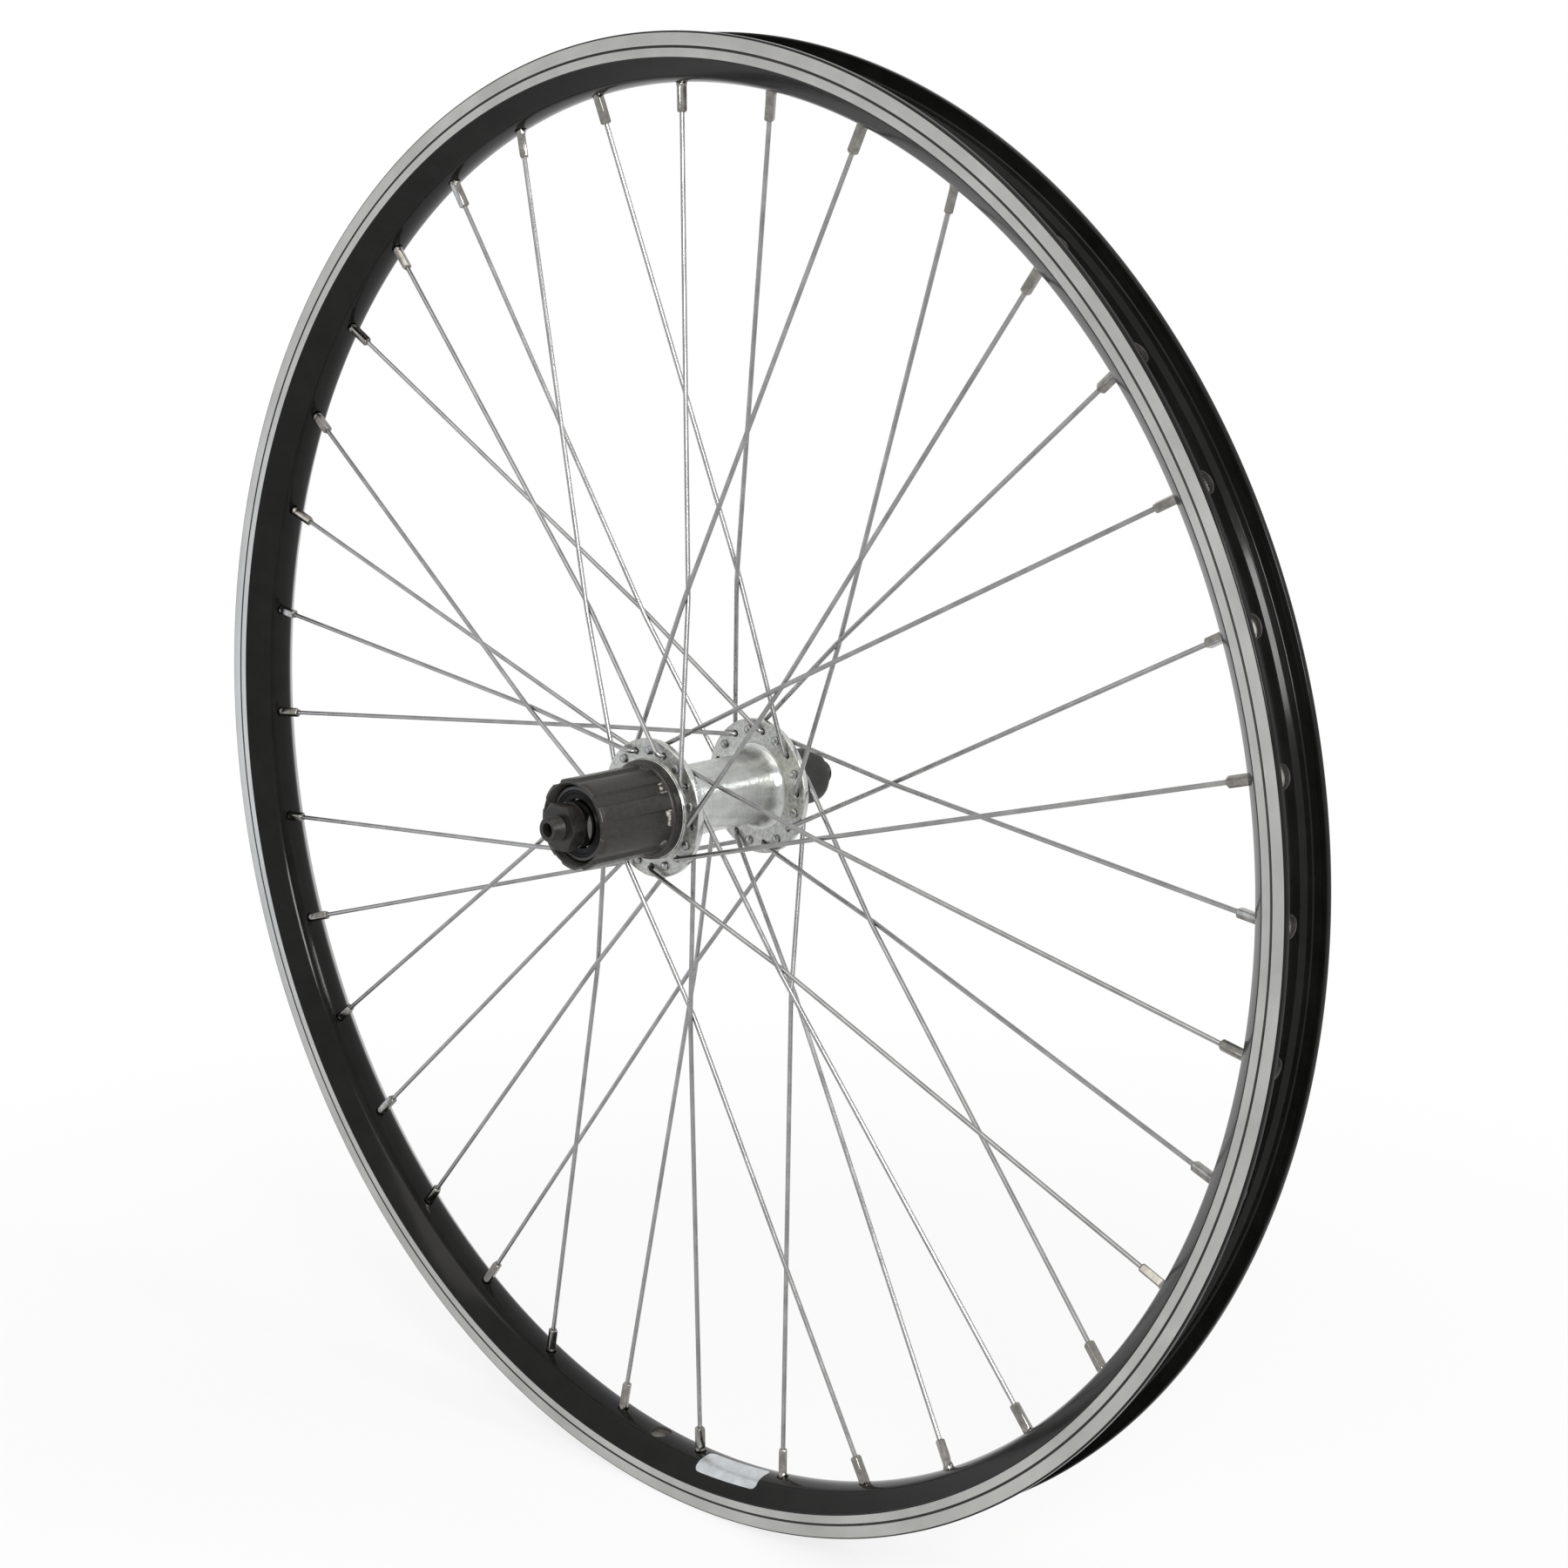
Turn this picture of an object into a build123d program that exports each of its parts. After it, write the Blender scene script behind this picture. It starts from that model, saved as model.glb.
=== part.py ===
from build123d import *
import os
from math import atan2, copysign, cos, degrees, pi, radians, sin, sqrt, tan

# Rear bicycle wheel without its tyre, in millimetres.
# The origin is the middle of the axle, in the rim's own plane.
# +Y runs along the axle to the left side, so the splined drive side is at -Y. +Z is up.

# Rim
RIM_DIAMETER = 571.0
RIM_WIDTH = 24.9
RIM_DEPTH = 17.9
TRACK_HEIGHT = 9.6
BED_WIDTH = 10.0
BED_WALL = 1.7
LIP_HEIGHT = 6.0
LIP_WIDTH = 2.5
LIP_CHAMFER = 0.8
HOOK_DEPTH = 2.7
SIDE_WALL = 1.85
CHAMBER_WALL = 2.25
BEAD_SEAT_DIAMETER = RIM_DIAMETER - 2 * LIP_HEIGHT
BEAD_SEAT_WIDTH = 3.2
WELL_DEPTH = 1.6
WELL_WALL = 1.6
WEAR_GROOVE_HEIGHT = 4.0
WEAR_GROOVE_WIDTH = 0.9
WEAR_GROOVE_DEPTH = 0.4
ACCESS_HOLE_DIAMETER = 8.0
VALVE_HOLE_DIAMETER = 8.5
VALVE_AFTER_SPOKE = 27

# Spokes and nipples
SPOKE_COUNT = 36
CROSSES = 3
WHEEL_PHASE = 0.57
SPOKE_DIAMETER = 1.8
SPOKE_HEAD_DIAMETER = 3.5
SPOKE_HEAD_HEIGHT = 1.1
OUTER_ELBOW_REACH = 2.8
INNER_ELBOW_REACH = 1.15
CROSSING_GAP = 0.12
NIPPLE_DIAMETER = 4.0
NIPPLE_BARREL = 12.5
NIPPLE_COLLAR = 2.4
NIPPLE_FLATS = 3.2
NIPPLE_HEAD_DIAMETER = 6.0
NIPPLE_HEAD_HEIGHT = 2.4
NIPPLE_SEAT_LIFT = 0.15
NIPPLE_SEAT_HEIGHT = 1.05
NIPPLE_HOLE_DIAMETER = 4.6
SPOKE_ENGAGEMENT = 0.5
# Wires, nipples, loose balls and the holes for spokes have few flat sides, because there are many of them.
SMALL_SIDES = 8
HOLE_SIDES = 10
HEXAGON_SIDES = 6
# How far a cutting tool runs past the wall that it cuts
CUT_MARGIN = 1.0

# Hub shell. An inset is counted in from the outer face of the lock nut on that side.
FLANGE_DIAMETER = 53.4
FLANGE_THICKNESS = 2.8
FLANGE_HOLE_CIRCLE = 45.0
FLANGE_HOLE_DIAMETER = 2.4
DRIVE_FLANGE_INSET = 47.7
LEFT_FLANGE_INSET = 31.7
BARREL_DIAMETER = 27.4
BARREL_BORE = 20.0
FLARE_DIAMETER = 33.0
FLARE_LENGTH = 5.0
DRIVE_BOSS_DIAMETER = 38.4
DRIVE_BOSS_HEIGHT = 1.0
LEFT_BOSS_DIAMETER = 32.0
LEFT_END_INSET = 20.0

# Ball bearings, one at each end of the axle
BALL_DIAMETER = 6.35
BALL_COUNT = 9
BALL_CIRCLE = 19.0
BALL_GAP = 0.05
LEFT_BALLS_INSET = 26.0
DRIVE_BALLS_INSET = 16.0
CUP_WALL = 1.1
CUP_LIP_GAP = 0.12
CUP_FLOOR = 0.6
CUP_FLOOR_BORE = 18.4
CUP_END_INSET = 0.6
PRESS_CLEARANCE = 0.02
DUST_CAP_BORE = 18.6
DUST_CAP_THICKNESS = 1.2
DUST_CAP_INSET = 0.2

# Axle and the pieces threaded on it
AXLE_DIAMETER = 10.0
AXLE_LENGTH = 145.0
AXLE_BORE = 5.2
AXLE_STUB_DIAMETER = 9.6
AXLE_STUB_LENGTH = 5.0
AXLE_CHAMFER = 0.6
THREAD_CLEARANCE = 0.03
CONE_DIAMETER = 17.5
CONE_NOSE_DIAMETER = 11.2
CONE_FLATS = 15.0
CONE_FLAT_LENGTH = 2.5
LEFT_CONE_END_INSET = 15.0
DRIVE_CONE_END_INSET = 6.7
WASHER_DIAMETER = 17.0
WASHER_THICKNESS = 1.8
SPACER_DIAMETER = 16.0
LEFT_NUT_FLATS = 15.0
LEFT_NUT_THICKNESS = 5.0
DRIVE_NUT_FLATS = 17.0
NUT_CHAMFER = 0.8
NUT_CHAMFER_ANGLE = 30.0
BOOT_DIAMETER = 22.4
BOOT_START_INSET = 19.3
BOOT_END_INSET = 1.6
BOOT_CLEARANCE = 0.1

# Freehub
FREEHUB_BASE_DIAMETER = 38.0
FREEHUB_BASE_HEIGHT = 2.4
FREEHUB_END_INSET = 7.0
FREEHUB_RUNNING_GAP = 0.3
SPLINE_DIAMETER = 34.6
SPLINE_COUNT = 9
SPLINE_DEPTH = 1.0
SPLINE_GROOVE_WIDTH = 4.6
KEY_GROOVE_WIDTH = 6.4
LOCK_RING_BORE = 30.6
LOCK_RING_DEPTH = 9.0
RATCHET_TEETH = 24
RATCHET_DEPTH = 1.1
RATCHET_LENGTH = 8.5
CARRIER_SPIGOT_DIAMETER = 24.0
CARRIER_SPIGOT_LENGTH = 8.0
CARRIER_END_INSET = 10.0
SPIGOT_CLEARANCE = 0.05
BOLT_HEAD_DIAMETER = 16.4
BOLT_HEAD_LENGTH = 6.0
BOLT_SHANK_DIAMETER = 13.6
BOLT_BORE = 11.2
BOLT_SEAT_INSET = 43.5
BOLT_THREAD_LENGTH = 9.0
BOLT_CLEARANCE = 0.1

# Pawls of the freehub, set in pockets of the carrier
PAWL_COUNT = 2
PAWL_ANGLE = 90.0
PAWL_PIVOT_CIRCLE = 23.2
PAWL_PIVOT_DIAMETER = 3.6
PAWL_LENGTH = 6.0
PAWL_TIP_TOP = 1.9
PAWL_TIP_BOTTOM = -0.5
PAWL_WIDTH = 5.0
PAWL_START_INSET = 42.4
PAWL_CLEARANCE = 0.2
PAWL_TIP_CLEARANCE = 0.15
POCKET_FLOOR = 1.95
POCKET_LENGTH = 7.0
LEAF_THICKNESS = 0.2
LEAF_START = 2.6
LEAF_LENGTH = 3.6
LEAF_WIDTH = 3.0

# Sizes that follow from the ones above
rim_radius = RIM_DIAMETER / 2
rim_half = RIM_WIDTH / 2
bed_radius = rim_radius - RIM_DEPTH
bed_half = BED_WIDTH / 2
floor_radius = bed_radius + BED_WALL
track_bottom = rim_radius - TRACK_HEIGHT
groove_radius = track_bottom + WEAR_GROOVE_HEIGHT
seat_radius = BEAD_SEAT_DIAMETER / 2
seat_half = rim_half - SIDE_WALL
well_half = seat_half - BEAD_SEAT_WIDTH
well_radius = seat_radius - WELL_DEPTH
roof_radius = well_radius - WELL_WALL
wall_lean = (rim_half - bed_half) / (track_bottom - bed_radius)
chamber_floor_half = bed_half + wall_lean * BED_WALL - CHAMBER_WALL
chamber_roof_half = rim_half - CHAMBER_WALL
spoke_radius = SPOKE_DIAMETER / 2
flange_hole_radius = FLANGE_HOLE_CIRCLE / 2
spoke_pitch = 360 / SPOKE_COUNT
valve_angle = WHEEL_PHASE + (VALVE_AFTER_SPOKE - 0.5) * spoke_pitch
flange_pitch = 2 * spoke_pitch
lacing_angle = CROSSES * flange_pitch
flange_half = FLANGE_THICKNESS / 2
lock_face_y = AXLE_LENGTH / 2 - AXLE_STUB_LENGTH
drive_flange_y = DRIVE_FLANGE_INSET - lock_face_y
left_flange_y = lock_face_y - LEFT_FLANGE_INSET
left_end_y = lock_face_y - LEFT_END_INSET
left_balls_y = lock_face_y - LEFT_BALLS_INSET
drive_balls_y = DRIVE_BALLS_INSET - lock_face_y
left_cone_end_y = lock_face_y - LEFT_CONE_END_INSET
drive_cone_end_y = DRIVE_CONE_END_INSET - lock_face_y
boot_start_y = lock_face_y - BOOT_START_INSET
boot_end_y = lock_face_y - BOOT_END_INSET
freehub_end_y = FREEHUB_END_INSET - lock_face_y
carrier_end_y = CARRIER_END_INSET - lock_face_y
bolt_seat_y = BOLT_SEAT_INSET - lock_face_y
pawl_start_y = PAWL_START_INSET - lock_face_y
drive_shell_y = drive_flange_y - flange_half - DRIVE_BOSS_HEIGHT
spigot_end_y = drive_shell_y + CARRIER_SPIGOT_LENGTH
bolt_end_y = spigot_end_y + BOLT_THREAD_LENGTH
freehub_base_y = drive_shell_y - FREEHUB_RUNNING_GAP
spline_start_y = freehub_base_y - FREEHUB_BASE_HEIGHT
ball_radius = BALL_DIAMETER / 2
ball_circle_radius = BALL_CIRCLE / 2
race_reach = sqrt(2) * (ball_radius + BALL_GAP)
cup_lip_radius = ball_circle_radius + ball_radius + CUP_LIP_GAP
cup_radius = cup_lip_radius + CUP_WALL
axle_hole_radius = AXLE_DIAMETER / 2 + THREAD_CLEARANCE
cone_radius = CONE_DIAMETER / 2
carrier_radius = cup_radius
freehub_bore_radius = carrier_radius + FREEHUB_RUNNING_GAP
ratchet_radius = freehub_bore_radius + RATCHET_DEPTH
pawl_pivot_radius = PAWL_PIVOT_CIRCLE / 2
corner_stretch = 1 / cos(pi / SMALL_SIDES)


def across_axle(y):
    """A plane square to the axle at y, with its normal to the drive side."""
    return Plane.XZ.offset(-y)


def on_circle(radius, angle, y=0.0):
    """A point at an angle around the axle, counted from +X towards +Z."""
    return Vector(radius * cos(radians(angle)), y, radius * sin(radians(angle)))


def radial_plane(radius, angle):
    """A plane facing outward at a point of the rim's middle circle."""
    return Plane(origin=on_circle(radius, angle), z_dir=on_circle(1.0, angle))


def finish(name, solid):
    """Label a finished piece and write it."""
    solid.label = name
    export_step(solid, f"parts/{name}.step")


class Spoke:
    """Where one spoke runs: head, elbow, last crossing and rim seat."""

    def __init__(self, index):
        self.rim_angle = WHEEL_PHASE + index * spoke_pitch
        on_left = index % 2 == 0
        outside_flange = index % 4 in (0, 1)
        outward = 1 if on_left else -1
        lean = 1 if index % 4 in (0, 3) else -1
        face = outward if outside_flange else -outward
        flange_y = left_flange_y if on_left else drive_flange_y
        reach = OUTER_ELBOW_REACH if outside_flange else INNER_ELBOW_REACH
        hub_angle = self.rim_angle + lean * lacing_angle
        self.head = on_circle(flange_hole_radius, hub_angle, flange_y - face * flange_half)
        self.elbow = on_circle(flange_hole_radius, hub_angle, flange_y + face * (flange_half + reach))
        self.seat = on_circle(floor_radius, self.rim_angle)
        # A spoke's last crossing lies half a flange pitch from its rim hole.
        # The spoke from outside the flange passes on the inner side there.
        share = crossing_share(lean * lacing_angle, lean * flange_pitch / 2)
        start = on_circle(flange_hole_radius, hub_angle, flange_y)
        middle = start + (self.seat - start) * share
        self.cross = middle - Vector(0, face * (spoke_radius + CROSSING_GAP / 2), 0)
        self.direction = (self.seat - self.cross).normalized()
        self.tip = self.seat + self.direction * SPOKE_ENGAGEMENT
        self.nipple_plane = Plane(origin=self.seat, z_dir=self.direction)


def crossing_share(hub_angle, cross_angle):
    """How far along the straight run from flange hole to rim seat a crossing lies.

    Both angles are counted from the spoke's rim hole.
    """
    hub_x = flange_hole_radius * cos(radians(hub_angle))
    hub_z = flange_hole_radius * sin(radians(hub_angle))
    slope = tan(radians(cross_angle))
    return (hub_z - slope * hub_x) / (slope * (floor_radius - hub_x) + hub_z)


def cup_race_y(balls_y, outward, radius):
    """Where a cup's race, a 45 degree cone behind the balls, has a radius."""
    return balls_y + outward * (radius - ball_circle_radius - race_reach)


def cone_race_y(balls_y, outward, radius):
    """Where a cone's race, a 45 degree cone in front of the balls, has a radius."""
    return balls_y + outward * (radius - ball_circle_radius + race_reach)


def ring(bore_radius, radius, start_y, end_y):
    """A plain ring on the axle's line, between two places along it."""
    with BuildPart() as piece:
        with BuildSketch(across_axle(max(start_y, end_y))):
            Circle(radius)
            Circle(bore_radius, mode=Mode.SUBTRACT)
        extrude(amount=abs(end_y - start_y))
    return piece.part


def pawl_plane(pawl, y):
    """A plane at a pawl's pivot: x along the pawl to its tip, y outward, z along +Y."""
    angle = PAWL_ANGLE + pawl * 360 / PAWL_COUNT
    return Plane(
        origin=on_circle(pawl_pivot_radius, angle, y),
        x_dir=on_circle(1.0, angle + 90),
        z_dir=(0, 1, 0),
    )


def sides(radius):
    """A small section with few flat sides, inside a circle."""
    return RegularPolygon(radius, SMALL_SIDES)


def hole_sides(diameter):
    """A small hole with few flat sides, outside a circle."""
    return RegularPolygon(diameter / 2, HOLE_SIDES, major_radius=False)


os.makedirs("parts", exist_ok=True)
spokes = [Spoke(index) for index in range(SPOKE_COUNT)]
cup_left_start_y = cup_race_y(left_balls_y, 1, CUP_FLOOR_BORE / 2) - CUP_FLOOR
cup_left_end_y = left_end_y - CUP_END_INSET

# Rim: a double-walled box section turned round the axle
with BuildPart() as rim:
    with BuildSketch(Plane.XY):
        with BuildLine():
            Polyline(
                (bed_radius, 0),
                (bed_radius, bed_half),
                (track_bottom, rim_half),
                (groove_radius - WEAR_GROOVE_WIDTH / 2, rim_half),
                (groove_radius, rim_half - WEAR_GROOVE_DEPTH),
                (groove_radius + WEAR_GROOVE_WIDTH / 2, rim_half),
                (rim_radius - LIP_CHAMFER, rim_half),
                (rim_radius, rim_half - LIP_CHAMFER),
                (rim_radius, rim_half - LIP_WIDTH),
                (rim_radius - HOOK_DEPTH, seat_half),
                (seat_radius, seat_half),
                (seat_radius, well_half),
                (well_radius, well_half - WELL_DEPTH),
                (well_radius, 0),
            )
            mirror(about=Plane.XZ)
        make_face()
        with BuildLine():
            Polyline(
                (floor_radius, -chamber_floor_half),
                (floor_radius, chamber_floor_half),
                (roof_radius, chamber_roof_half),
                (roof_radius, -chamber_roof_half),
                close=True,
            )
        make_face(mode=Mode.SUBTRACT)
    revolve(axis=Axis.Y)
    # Nipple holes, each in line with its spoke
    for spoke in spokes:
        with BuildSketch(spoke.nipple_plane.offset(-BED_WALL - CUT_MARGIN)):
            hole_sides(NIPPLE_HOLE_DIAMETER)
    extrude(amount=BED_WALL + 2 * CUT_MARGIN, mode=Mode.SUBTRACT)
    # Access holes in the tyre well, one above each nipple
    for spoke in spokes:
        with BuildSketch(radial_plane(roof_radius - CUT_MARGIN, spoke.rim_angle)):
            hole_sides(ACCESS_HOLE_DIAMETER)
    extrude(amount=WELL_WALL + 2 * CUT_MARGIN, mode=Mode.SUBTRACT)
    # Valve hole, between two spokes that lean away from each other
    with BuildSketch(radial_plane(bed_radius - CUT_MARGIN, valve_angle)):
        Circle(VALVE_HOLE_DIAMETER / 2)
    extrude(amount=RIM_DEPTH, mode=Mode.SUBTRACT)
finish("rim", rim.part)

# Spokes: a conical head, an elbow at the flange, and a slight bend at the last crossing
for index, spoke in enumerate(spokes):
    with BuildPart() as wire:
        with BuildLine():
            Polyline(spoke.head, spoke.elbow, spoke.cross, spoke.tip)
        leg = Plane(origin=spoke.head, z_dir=spoke.elbow - spoke.head)
        with BuildSketch(leg):
            sides(spoke_radius)
        sweep(transition=Transition.RIGHT)
        with BuildSketch(leg):
            sides(spoke_radius)
        with BuildSketch(leg.offset(-SPOKE_HEAD_HEIGHT)):
            sides(SPOKE_HEAD_DIAMETER / 2)
        loft()
    finish(f"spoke_{index + 1:02d}", wire.part)

# Nipples: a square wrench part, a round collar in the rim's hole, a head that seats inside the rim,
# and a blind threaded bore
with BuildPart() as nipple:
    with BuildSketch(Plane.XY.offset(-NIPPLE_BARREL)):
        Rectangle(NIPPLE_FLATS, NIPPLE_FLATS)
    extrude(amount=NIPPLE_BARREL - NIPPLE_COLLAR)
    with BuildSketch(Plane.XY.offset(-NIPPLE_COLLAR)):
        sides(NIPPLE_DIAMETER / 2)
    extrude(amount=NIPPLE_COLLAR + NIPPLE_SEAT_LIFT)
    with BuildSketch(Plane.XY.offset(NIPPLE_SEAT_LIFT)):
        sides(NIPPLE_DIAMETER / 2)
    with BuildSketch(Plane.XY.offset(NIPPLE_SEAT_LIFT + NIPPLE_SEAT_HEIGHT)):
        sides(NIPPLE_HEAD_DIAMETER / 2)
    loft()
    with BuildSketch(Plane.XY.offset(NIPPLE_SEAT_LIFT + NIPPLE_SEAT_HEIGHT)):
        sides(NIPPLE_HEAD_DIAMETER / 2)
    extrude(amount=NIPPLE_HEAD_HEIGHT - NIPPLE_SEAT_HEIGHT)
    with BuildSketch(Plane.XY.offset(-NIPPLE_BARREL)):
        sides(spoke_radius * corner_stretch + THREAD_CLEARANCE)
    extrude(amount=NIPPLE_BARREL + SPOKE_ENGAGEMENT + THREAD_CLEARANCE, mode=Mode.SUBTRACT)
with BuildPart() as nipples:
    with Locations(*[spoke.nipple_plane.location for spoke in spokes]):
        add(nipple.part)
finish("nipples", nipples.part)

# Hub shell: a flared barrel between two drilled flanges
drive_inner_y = drive_flange_y + flange_half
drive_outer_y = drive_flange_y - flange_half
left_inner_y = left_flange_y - flange_half
left_outer_y = left_flange_y + flange_half
barrel_radius = BARREL_DIAMETER / 2
flare_radius = FLARE_DIAMETER / 2
drive_flare_y = drive_inner_y + FLARE_LENGTH
left_flare_y = left_inner_y - FLARE_LENGTH
spigot_hole_radius = CARRIER_SPIGOT_DIAMETER / 2 + SPIGOT_CLEARANCE
bolt_hole_radius = BOLT_SHANK_DIAMETER / 2 + THREAD_CLEARANCE
with BuildPart() as hub_shell:
    with BuildSketch(Plane.XY):
        with BuildLine():
            Polyline(
                (spigot_hole_radius, drive_shell_y),
                (DRIVE_BOSS_DIAMETER / 2, drive_shell_y),
                (DRIVE_BOSS_DIAMETER / 2, drive_outer_y),
                (FLANGE_DIAMETER / 2, drive_outer_y),
                (FLANGE_DIAMETER / 2, drive_inner_y),
                (flare_radius, drive_inner_y),
            )
            TangentArc(
                (barrel_radius, drive_flare_y),
                (flare_radius, drive_inner_y),
                tangent=(0, -1),
            )
            Line((barrel_radius, drive_flare_y), (barrel_radius, left_flare_y))
            TangentArc(
                (barrel_radius, left_flare_y),
                (flare_radius, left_inner_y),
                tangent=(0, 1),
            )
            Polyline(
                (flare_radius, left_inner_y),
                (FLANGE_DIAMETER / 2, left_inner_y),
                (FLANGE_DIAMETER / 2, left_outer_y),
                (LEFT_BOSS_DIAMETER / 2, left_outer_y),
                (LEFT_BOSS_DIAMETER / 2, left_end_y),
                (cup_radius, left_end_y),
                (cup_radius, cup_left_start_y),
                (BARREL_BORE / 2, cup_left_start_y),
                (BARREL_BORE / 2, bolt_end_y),
                (bolt_hole_radius, bolt_end_y),
                (bolt_hole_radius, spigot_end_y),
                (spigot_hole_radius, spigot_end_y),
                (spigot_hole_radius, drive_shell_y),
            )
        make_face()
    revolve(axis=Axis.Y)
    for flange_y, start in ((drive_flange_y, spoke_pitch), (left_flange_y, 0)):
        with BuildSketch(across_axle(flange_y + flange_half)):
            with PolarLocations(flange_hole_radius, SPOKE_COUNT // 2, start_angle=WHEEL_PHASE + start):
                hole_sides(FLANGE_HOLE_DIAMETER)
        extrude(amount=FLANGE_THICKNESS, mode=Mode.SUBTRACT)
finish("hub_shell", hub_shell.part)

# Left bearing cup, pressed into the hub shell
with BuildPart() as cup_left:
    with BuildSketch(Plane.XY):
        with BuildLine():
            Polyline(
                (CUP_FLOOR_BORE / 2, cup_left_start_y),
                (cup_radius - PRESS_CLEARANCE, cup_left_start_y),
                (cup_radius - PRESS_CLEARANCE, cup_left_end_y),
                (cup_lip_radius, cup_left_end_y),
                (cup_lip_radius, cup_race_y(left_balls_y, 1, cup_lip_radius)),
                (CUP_FLOOR_BORE / 2, cup_race_y(left_balls_y, 1, CUP_FLOOR_BORE / 2)),
                close=True,
            )
        make_face()
    revolve(axis=Axis.Y)
finish("cup_left", cup_left.part)

# Dust caps, pressed into the mouths of the two cups
cap_radius = cup_lip_radius - PRESS_CLEARANCE
for name, mouth_y, outward in (
    ("dust_cap_left", cup_left_end_y, 1),
    ("dust_cap_drive", carrier_end_y, -1),
):
    cap_y = mouth_y - outward * DUST_CAP_INSET
    finish(name, ring(DUST_CAP_BORE / 2, cap_radius, cap_y, cap_y - outward * DUST_CAP_THICKNESS))

# Bearing balls, a loose ring of them in each bearing
with BuildPart() as ball:
    for plane in (Plane.XY, Plane.XZ, Plane.YZ):
        with BuildSketch(plane):
            RegularPolygon(ball_radius / sqrt(1.5), SMALL_SIDES, major_radius=False)
        extrude(
            amount=ball_radius,
            both=True,
            mode=Mode.ADD if plane == Plane.XY else Mode.INTERSECT,
        )
for name, balls_y in (("balls_left", left_balls_y), ("balls_drive", drive_balls_y)):
    with BuildPart(across_axle(balls_y)) as balls:
        with PolarLocations(ball_circle_radius, BALL_COUNT):
            add(ball.part)
    finish(name, balls.part)

# Axle: a hollow rod for a quick-release skewer, with a short stub for each frame end
with BuildPart() as axle:
    with BuildSketch(across_axle(AXLE_LENGTH / 2)):
        Circle(AXLE_STUB_DIAMETER / 2)
    extrude(amount=AXLE_LENGTH)
    with BuildSketch(across_axle(lock_face_y)):
        Circle(AXLE_DIAMETER / 2)
    extrude(amount=2 * lock_face_y)
    ends = axle.edges().filter_by(GeomType.CIRCLE).sort_by(Axis.Y)
    chamfer((ends[0], ends[-1]), length=AXLE_CHAMFER)
    with BuildSketch(across_axle(AXLE_LENGTH / 2)):
        Circle(AXLE_BORE / 2)
    extrude(amount=AXLE_LENGTH, mode=Mode.SUBTRACT)
finish("axle", axle.part)

# Cones, threaded on the axle, with wrench flats at their outer ends
for name, balls_y, end_y, outward in (
    ("cone_left", left_balls_y, left_cone_end_y, 1),
    ("cone_drive", drive_balls_y, drive_cone_end_y, -1),
):
    nose_radius = CONE_NOSE_DIAMETER / 2
    nose_y = cone_race_y(balls_y, outward, nose_radius)
    with BuildPart() as cone:
        with BuildSketch(Plane.XY):
            with BuildLine():
                Polyline(
                    (axle_hole_radius, nose_y),
                    (nose_radius, nose_y),
                    (cone_radius, cone_race_y(balls_y, outward, cone_radius)),
                    (cone_radius, end_y),
                    (axle_hole_radius, end_y),
                    close=True,
                )
            make_face()
        revolve(axis=Axis.Y)
        with BuildSketch(across_axle(max(end_y, end_y - outward * CONE_FLAT_LENGTH))):
            Rectangle(2 * CONE_DIAMETER, 2 * CONE_DIAMETER)
            Rectangle(CONE_FLATS, 2 * CONE_DIAMETER, mode=Mode.SUBTRACT)
        extrude(amount=CONE_FLAT_LENGTH, mode=Mode.SUBTRACT)
    finish(name, cone.part)

# Washers, spacer and lock nuts, each face to face with the next
left_washer_y = left_cone_end_y + WASHER_THICKNESS
drive_washer_y = drive_cone_end_y - WASHER_THICKNESS
left_nut_y = lock_face_y - LEFT_NUT_THICKNESS
finish("washer_left", ring(axle_hole_radius, WASHER_DIAMETER / 2, left_cone_end_y, left_washer_y))
finish("washer_drive", ring(axle_hole_radius, WASHER_DIAMETER / 2, drive_cone_end_y, drive_washer_y))
finish("spacer_left", ring(axle_hole_radius, SPACER_DIAMETER / 2, left_washer_y, left_nut_y))
for name, flats, start_y, end_y in (
    ("lock_nut_left", LEFT_NUT_FLATS, left_nut_y, lock_face_y),
    ("lock_nut_drive", DRIVE_NUT_FLATS, drive_washer_y, -lock_face_y),
):
    corner_radius = flats / 2 / cos(pi / HEXAGON_SIDES)
    with BuildPart() as nut:
        with BuildSketch(across_axle(max(start_y, end_y))):
            RegularPolygon(flats / 2, HEXAGON_SIDES, major_radius=False)
            Circle(axle_hole_radius, mode=Mode.SUBTRACT)
        extrude(amount=abs(end_y - start_y))
        with BuildSketch(Plane.XY):
            with BuildLine():
                Polyline(
                    (0, start_y),
                    (corner_radius, start_y),
                    (corner_radius, end_y - copysign(NUT_CHAMFER, end_y)),
                    (corner_radius - NUT_CHAMFER / tan(radians(NUT_CHAMFER_ANGLE)), end_y),
                    (0, end_y),
                    close=True,
                )
            make_face()
        revolve(axis=Axis.Y, mode=Mode.INTERSECT)
    finish(name, nut.part)

# Rubber boot round the left cone, spacer and nut
finish("boot_left", ring(cone_radius + BOOT_CLEARANCE, BOOT_DIAMETER / 2, boot_start_y, boot_end_y))

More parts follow.
